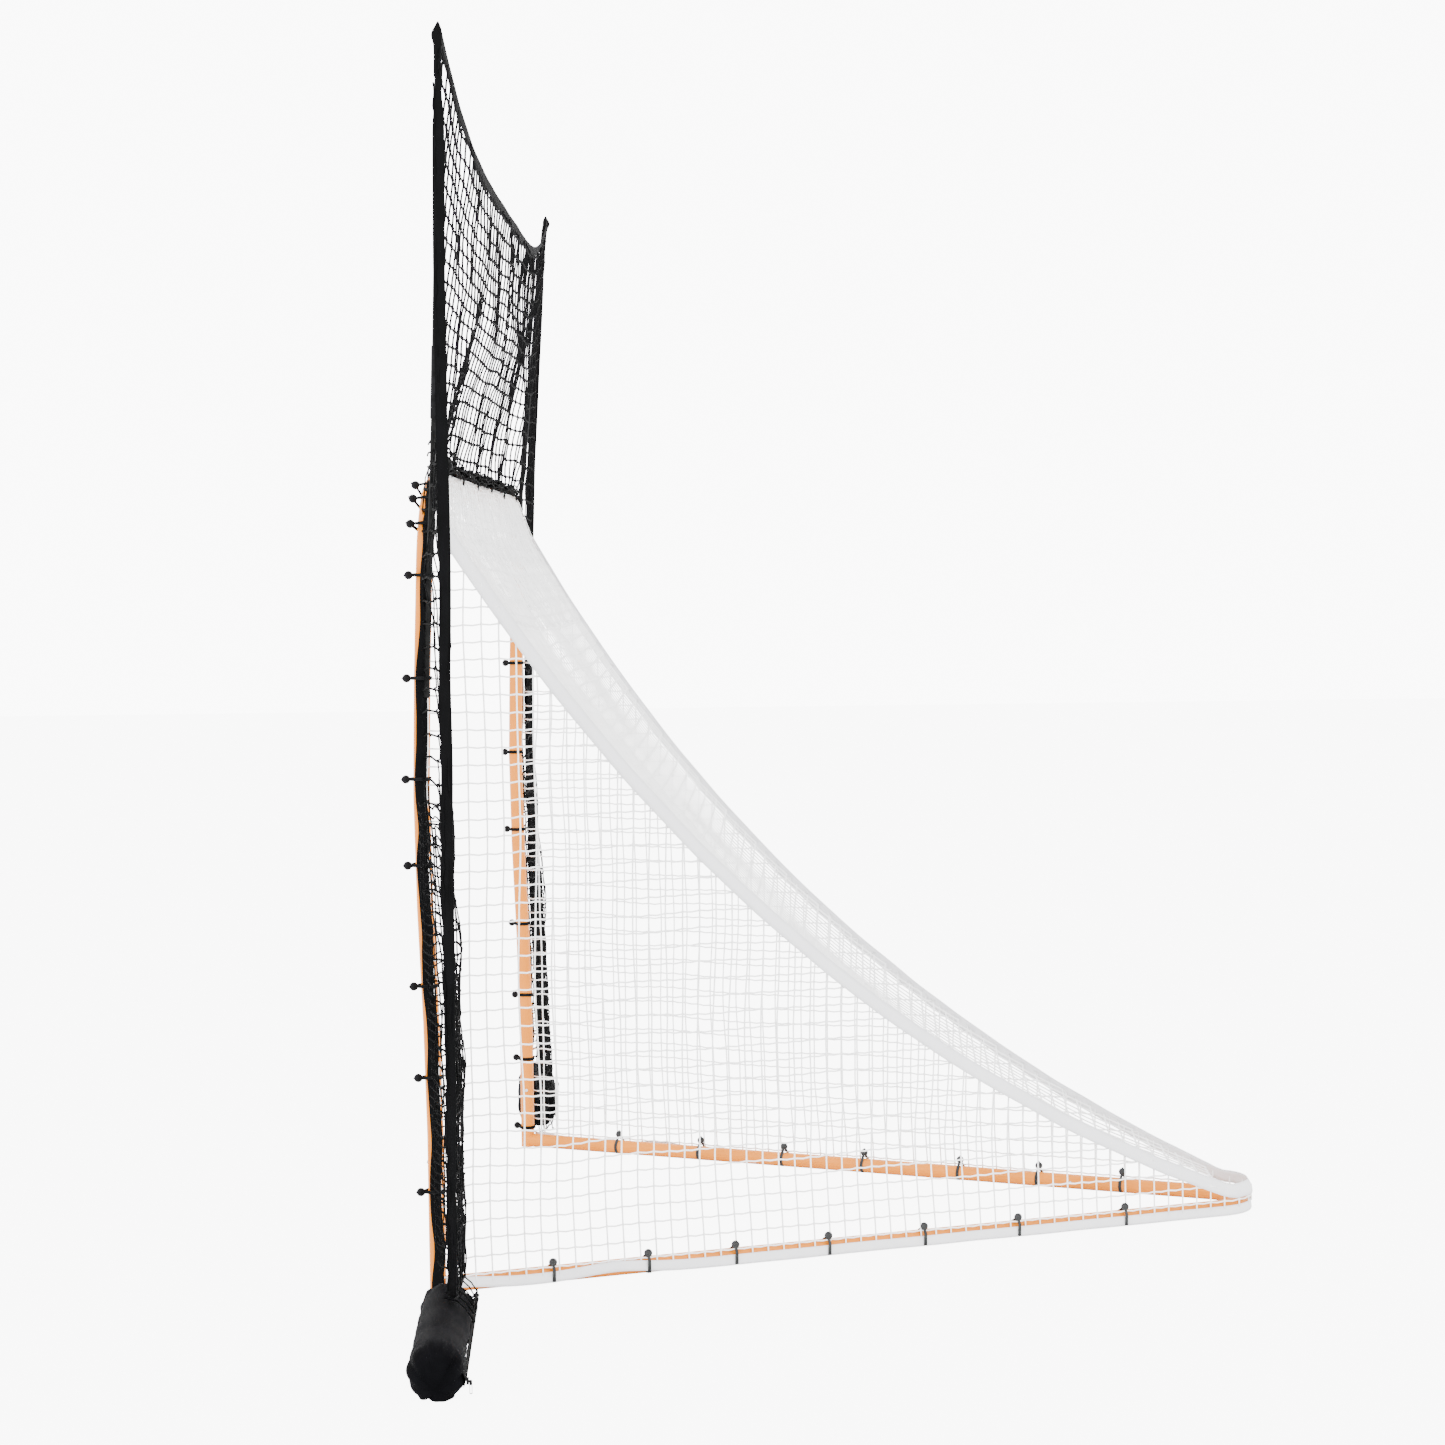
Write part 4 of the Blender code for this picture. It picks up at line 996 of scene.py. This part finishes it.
def bungee(name, centre, out, behind, ball_at, circles, replaced=None, tilt=0.0, shade="black"):
    """Elastic loop drawn round the tube and what lies on it, pulled through a round ball."""
    along = out.cross(behind).normalized()
    loop = belt([*circles, (ball_at[0] * 0.93, ball_at[1] * 0.93, CORD_R * 0.8)])
    cord_out = Strands(8)
    for strand in (-1, 1):
        line = []
        for a, b in loop:
            near_ball = max(0.0, 1.0 - dist((a, b), ball_at) / 0.030)
            offset = strand * CORD_R * (0.88 - 0.60 * near_ball) + tilt * (a - ball_at[0])
            dot = centre + out * a + behind * b + along * offset
            dot.z = max(dot.z, CORD_R * 0.8 + 0.0004)
            line.append(dot)
        cord_out.add(line, CORD_R * 0.9, along, closed=True)
    elastic = cord_out.piece(name)
    place(elastic, f"{shade}_elastic")
    if replaced:
        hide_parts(replaced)

    shape = bmesh.new()
    bmesh.ops.create_uvsphere(shape, u_segments=20, v_segments=14, radius=BALL_R)
    axis = Vector((ball_at[0], ball_at[1], 0.0)).normalized()
    direction = (out * axis.x + behind * axis.y).normalized()
    turn = direction.to_track_quat("Z", "Y").to_matrix()
    for vert in shape.verts:
        from_axis = hypot(vert.co.x, vert.co.y)
        if from_axis < BALL_R * 0.34:
            vert.co.z *= 0.86 + 0.10 * from_axis / (BALL_R * 0.34)
        vert.co = turn @ vert.co
    knot = bmesh.ops.create_uvsphere(shape, u_segments=10, v_segments=7, radius=0.0026)
    for vert in knot["verts"]:
        vert.co += direction * BALL_R * 0.97
    mesh = bpy.data.meshes.new(f"{name}_ball")
    shape.to_mesh(mesh)
    shape.free()
    shade_smooth(mesh)
    ball = new_object(f"{name}_ball", mesh)
    spot = centre + out * ball_at[0] + behind * ball_at[1]
    ball.location = spot + Vector((0.0, MOUTH_Y, 0.0))
    place(ball, f"{shade}_plastic")


RAIL_BALLS = {1: (0.246, 0.459, 0.659, 0.877, 1.107, 1.339, 1.61),
              -1: (0.273, 0.512, 0.749, 0.971, 1.229, 1.435, 1.648)}
POST_BALL_AT = (0.0200, -0.0325)
TANGLED_BALL_AT = (0.0400, 0.0250)
RAIL_BALL_AT = {1: (0.0185, 0.0300), -1: (0.0040, 0.0350)}
ROD_HELD_FROM = 1.36


def all_bungees():
    """Bungees up the posts, round the bends, along the crossbar and along the rails."""
    behind = Vector(BACKWARDS)
    tube_loop = (0.0, 0.0, TUBE_R + CORD_R * 0.8)
    tape_out = MOUTH_TAPE_R + 0.0007

    def edges(run):
        return [(tape_out, tape_shift(run) + e, CORD_R * 0.8 + 0.0004) for e in (-0.013, 0.013)]

    for side, word in SIDES.items():
        for number, height in enumerate(BALLS[side]):
            centre = Vector((side * POST_X, post_depth(height), height))
            circles = [tube_loop, *edges(height)]
            replaced = {1.400: f"{word}_post_bungee_1", 1.632: f"{word}_post_bungee_2"}.get(height)
            if height >= ROD_HELD_FROM:
                circles.append((ROD_OUT[side], ROD_BEHIND[side], ROD_R + CORD_R * 0.8))
            tilt = 0.10 * wave(height, side, 0, 0.2, 101.0)
            bungee(f"bungee_{word}_post_{number}", centre, Vector((side, 0, 0)), behind, POST_BALL_AT,
                   circles, replaced, tilt)
        for number, degrees in enumerate(BEND_BALLS):
            angle = radians(degrees)
            out = Vector((side * cos(angle), 0.0, sin(angle)))
            z = CORNER_Z + CORNER_R * sin(angle)
            centre = Vector((side * CORNER_X, post_depth(z), CORNER_Z)) + out * CORNER_R
            bungee(f"bungee_{word}_bend_{number}", centre, out, behind, POST_BALL_AT,
                   [tube_loop, *edges(CORNER_Z + CORNER_R * angle)],
                   f"{word}_corner_bungee" if number == 0 else None)
        for number, x in enumerate(BAR_BALLS):
            centre = Vector((side * x, 0.0, CROSSBAR_Z))
            at = TANGLED_BALL_AT if side > 0 and x == BAR_BALLS[-1] else POST_BALL_AT
            bungee(f"bungee_{word}_bar_{number}", centre, Vector(UPWARDS), behind, at,
                   [tube_loop, *edges(CROSSBAR_Z)])
    for side, word in SIDES.items():
        out = rail_outwards(side, 0.5)
        hem_edges = [(SIDE_NET_OUT + 0.0022, e, CORD_R * 0.8) for e in (-0.012, 0.013)]
        low_loop = (0.0, 0.0, TUBE_R * 0.98 + 0.0005)
        for number, depth in enumerate(RAIL_BALLS[side]):
            centre = rail_point(side, depth / RAIL_ALONG.y)
            # The rail bungees take the lighter grey copies: painted light on black elastic and black
            # balls.
            bungee(f"bungee_{word}_rail_{number}", centre, out, Vector(UPWARDS), RAIL_BALL_AT[side],
                   [low_loop, *hem_edges], shade="lit_black")


# ---------------------------------------------------------------- corner pockets
def lathe_faces(bands, turns):
    """Faces of a closed tube whose points run ring by ring."""
    return [(k * turns + j, k * turns + (j + 1) % turns,
             (k + 1) * turns + (j + 1) % turns, (k + 1) * turns + j)
            for k in range(bands) for j in range(turns)]


def pocket(side):
    """Folded fabric pocket over the rod's tip: a flat spear with a stitched stem.

    The outline's rows are: along the rod, half width, half thickness.
    """
    top = rod_point(side, TIP_Z - 0.030)
    axis = (top - rod_point(side, TIP_Z - 0.11)).normalized()
    outline = ((-0.085, 0.0072, 0.0085), (-0.060, 0.0072, 0.0085), (-0.034, 0.0074, 0.0084),
               (-0.012, 0.0076, 0.0084), (-0.002, 0.0094, 0.0080), (0.006, 0.0102, 0.0070),
               (0.014, 0.0088, 0.0055), (0.022, 0.0056, 0.0040), (0.029, 0.0026, 0.0026),
               (0.034, 0.0008, 0.0010))
    turns = 20
    verts, uvs = [], []
    wide = Vector(BACKWARDS) - axis * axis.y
    wide.normalize()
    thin = axis.cross(wide)
    for k, (along, half, flat) in enumerate(outline):
        lean = (0.0035 if side > 0 else -0.0045) * exp(-((along - 0.004) / 0.012) ** 2)
        for j in range(turns):
            t = 2 * pi * j / turns
            fold = 1.0 + 0.10 * wave(j, along * 60, side, 2.2, 111.0)
            across = wide * (half * cos(t) * fold - lean)
            verts.append(top + axis * along + across + thin * (flat * sin(t)))
            uvs.append((t * half, along))
    last = len(outline) - 1
    faces = lathe_faces(last, turns)
    faces.append(tuple(range(last * turns, last * turns + turns)))
    piece = new_piece(f"pocket_{SIDES[side]}", verts, faces, uvs)
    soften(piece, 0.0012, 1.0)
    place(piece, "black_webbing")
    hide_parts(f"{SIDES[side]}_corner_pocket")


# ---------------------------------------------------------------- sandbags
BAG_CLOSING = 0.085
BAG_END_DROP = 0.026
PLEAT, RIPPLE, LUMP = 0.013, 0.0035, 0.0034


def sandbag(side):
    """Canvas tube full of sand: it lies flat, and its ends are drawn together into folds."""
    word = SIDES[side]
    rings, turns = 66, 96
    verts = []
    for i in range(rings + 1):
        share = i / rings
        x = (share - 0.5) * BAG_LENGTH
        from_end = min(share, 1 - share) * BAG_LENGTH
        closing = max(1.0 - from_end / BAG_CLOSING, 0.0)
        round_ = sqrt(1.0 - closing**2.4)
        size = BAG_R * between(0.16, 1.0, round_)
        drop = BAG_END_DROP * (1.0 - round_) ** 0.8
        for j in range(turns):
            t = 2 * pi * j / turns
            crease = abs(sin(3.5 * t + 0.6 * sin(2 * t))) ** 0.7 - 0.6
            pleat = PLEAT * min(closing * 1.6, 1.0) * round_**0.5 * crease
            ripple = RIPPLE * exp(-from_end / 0.10) * sin(13 * t + 3.0 * sin(t))
            lump = LUMP * wave(x, cos(t) * 0.08, sin(t) * 0.08, 0.075, 121.0 + side)
            r = size + pleat + ripple * round_ + lump * round_ - 0.0045
            verts.append((x, r * cos(t), r * sin(t) - drop))
    faces = lathe_faces(rings, turns)
    faces.append(tuple(range(turns))[::-1])
    faces.append(tuple(range(rings * turns, rings * turns + turns)))
    mesh = bpy.data.meshes.new(f"bag_{word}")
    mesh.from_pydata(verts, [], faces)
    bag = new_object(f"bag_{word}", mesh)
    bpy.context.view_layer.objects.active = bag
    fold_bag(bag)
    centre_z = BAG_HEIGHT - BAG_R
    for vert in bag.data.vertices:
        x, y, z = vert.co
        low = -centre_z + 0.0012
        if z < low + 0.004:
            z = low + 0.0012 * max(0.0, wave(x, y, 0, 0.03, 131.0))
            y *= 1.06
        y = max(min(y, BAG_R - 0.001), -BAG_R + 0.001)
        vert.co = (x, y, min(z, BAG_R - 0.0015))
    bag.location = (side * BAG_X, BAG_DEPTH[side] + MOUTH_Y, centre_z)
    bag.rotation_euler.z = BAG_TURN[side]
    shade_smooth(bag.data)
    subdivide(bag)
    place(bag, "black_canvas")
    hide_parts(f"{word}_sandbag")
    zip_line(side)


FOLD_FRAMES = 20
MOST_MOVED = 0.010


def fold_bag(bag):
    """Cloth run: the sand's pressure swells the canvas between its pleats."""
    before = [vert.co.copy() for vert in bag.data.vertices]
    cloth = bag.modifiers.new("cloth", "CLOTH")
    settings = cloth.settings
    settings.quality = 5
    settings.mass = 0.4
    settings.tension_stiffness = 18
    settings.compression_stiffness = 18
    settings.bending_stiffness = 0.6
    settings.use_pressure = True
    settings.uniform_pressure_force = 4.0
    settings.effector_weights.gravity = 0.0
    for step in range(1, FOLD_FRAMES + 1):
        scene.frame_set(step)
    done = bag.evaluated_get(bpy.context.evaluated_depsgraph_get())
    after = [vert.co.copy() for vert in done.data.vertices]
    bag.modifiers.remove(cloth)
    scene.frame_set(1)
    for vert, old, new in zip(bag.data.vertices, before, after):
        move = new - old
        if move.length > MOST_MOVED:
            move *= MOST_MOVED / move.length
        vert.co = old + move


def on_bag(side, x, y, z):
    """A point beside the bag's middle, in goal coordinates."""
    turn = BAG_TURN[side]
    return Vector((side * BAG_X + x * cos(turn) - y * sin(turn),
                   BAG_DEPTH[side] + x * sin(turn) + y * cos(turn), z))


ZIP_HEIGHT, ZIP_WIDTH, ZIP_END = 0.036, 0.026, 0.288
TEETH, TOOTH_STEP = 1140, 0.0005


def zip_line(side):
    """Zip tape along the back of the bag, with its coil of teeth."""
    word = SIDES[side]
    y0 = BAG_R + 0.0004
    z0 = ZIP_HEIGHT

    def backing(u, v):
        x = side * between(-ZIP_END - 0.002, ZIP_END, u)
        bow = 0.0012 * wave(x, side, 0, 0.06, 141.0)
        return on_bag(side, x, y0 - 0.0010 - 0.0040 * (2 * v - 1) ** 2, z0 + (v - 0.5) * ZIP_WIDTH + bow)

    tape(f"zip_tape_{word}", "black_webbing", backing, 70, ZIP_WIDTH, 0.0008,
         wide=4)
    teeth = Strands(6)
    line = []
    for i in range(TEETH):
        t = i * pi / 2
        x = side * (i * TOOTH_STEP - ZIP_END)
        line.append(on_bag(side, x, y0 + 0.0002 + 0.0007 * cos(t), z0 + 0.0022 * sin(t)))
    teeth.add(line, 0.00045, (0.3, 0.2, 0.93))
    place(teeth.piece(f"zip_teeth_{word}"), "black_plastic")


# ---------------------------------------------------------------- build everything
for which in SIDES:
    pocket(which)
    side_net(which)
back_net()
white_tapes()
black_net()
gathered_net()
black_tapes()
mouth_tape()
all_bungees()
for which in SIDES:
    sandbag(which)

SLOTS = {row["node"]: row["material_slot"] for row in frame["record"]["subparts"]}
for name, cad_part in frame["nodes"].items():
    look = LOOKS["black_steel" if "_zip_" in name else SLOTS[name]]
    if not cad_part.material_slots:
        cad_part.data.materials.append(look)
    for material_slot in cad_part.material_slots:
        material_slot.link = "OBJECT"
        material_slot.material = look


# ---------------------------------------------------------------- floor and light
BACKDROP = 10.0
SKY = 4.0
FLOOR_GLOW = 0.85
WHITE = (1.0, 1.0, 1.0, 1.0)
LAMPS = (("key", (7.0, 5.0, 5.0), (0, 0, 1.0), 4.0, 500.0),
         ("fill", (6.0, -5.0, 4.0), (0, 0, 0.8), 4.0, 250.0))


def camera_only(tree, plain, glow, share, output):
    """Mixes a share of a glow into a plain surface or sky, where only the camera sees it."""
    seen = node(tree, "LightPath", {}, "Is Camera Ray")
    part = combined(tree, "MULTIPLY", seen, share)
    mix = node(tree, "MixShader", {"Fac": part, 1: plain, 2: glow}, "Shader")
    link(tree, mix, tree.nodes[output].inputs["Surface"])


def studio():
    """Pale floor and sky, bright only to the camera, and two soft lamps on the camera's side."""
    shape = bmesh.new()
    bmesh.ops.create_grid(shape, x_segments=1, y_segments=1, size=40.0)
    mesh = bpy.data.meshes.new("floor")
    shape.to_mesh(mesh)
    shape.free()
    floor = new_object("floor", mesh)
    floor.location = (0.0, 0.0, -0.0005)
    mat, tree, shader = material("floor_paper", (0.93, 0.93, 0.93), 0.9)
    cloudy = speckle(tree, places(tree), 0.6)
    tint(tree, shader, cloudy, (0.925, 0.925, 0.925), (0.935, 0.935, 0.935))
    dial(shader, "Specular IOR Level", 0.0)
    glow = node(tree, "Emission", {"Strength": BACKDROP}, "Emission")
    camera_only(tree, shader.outputs["BSDF"], glow, FLOOR_GLOW, "Material Output")
    mesh.materials.append(mat)

    world = bpy.data.worlds.new("studio")
    world.use_nodes = True
    tree = world.node_tree
    lit, bright = (node(tree, "Background", {"Color": WHITE, "Strength": strength}, "Background")
                   for strength in (SKY, BACKDROP))
    camera_only(tree, lit, bright, 1.0, "World Output")
    scene.world = world
    for name, spot, aim, size, power in LAMPS:
        data = bpy.data.lights.new(name, "AREA")
        data.size = size
        data.energy = power
        lamp = new_object(name, data)
        lamp.location = spot
        lamp.rotation_euler = (Vector(aim) - Vector(spot)).to_track_quat("-Z", "Y").to_euler()


studio()
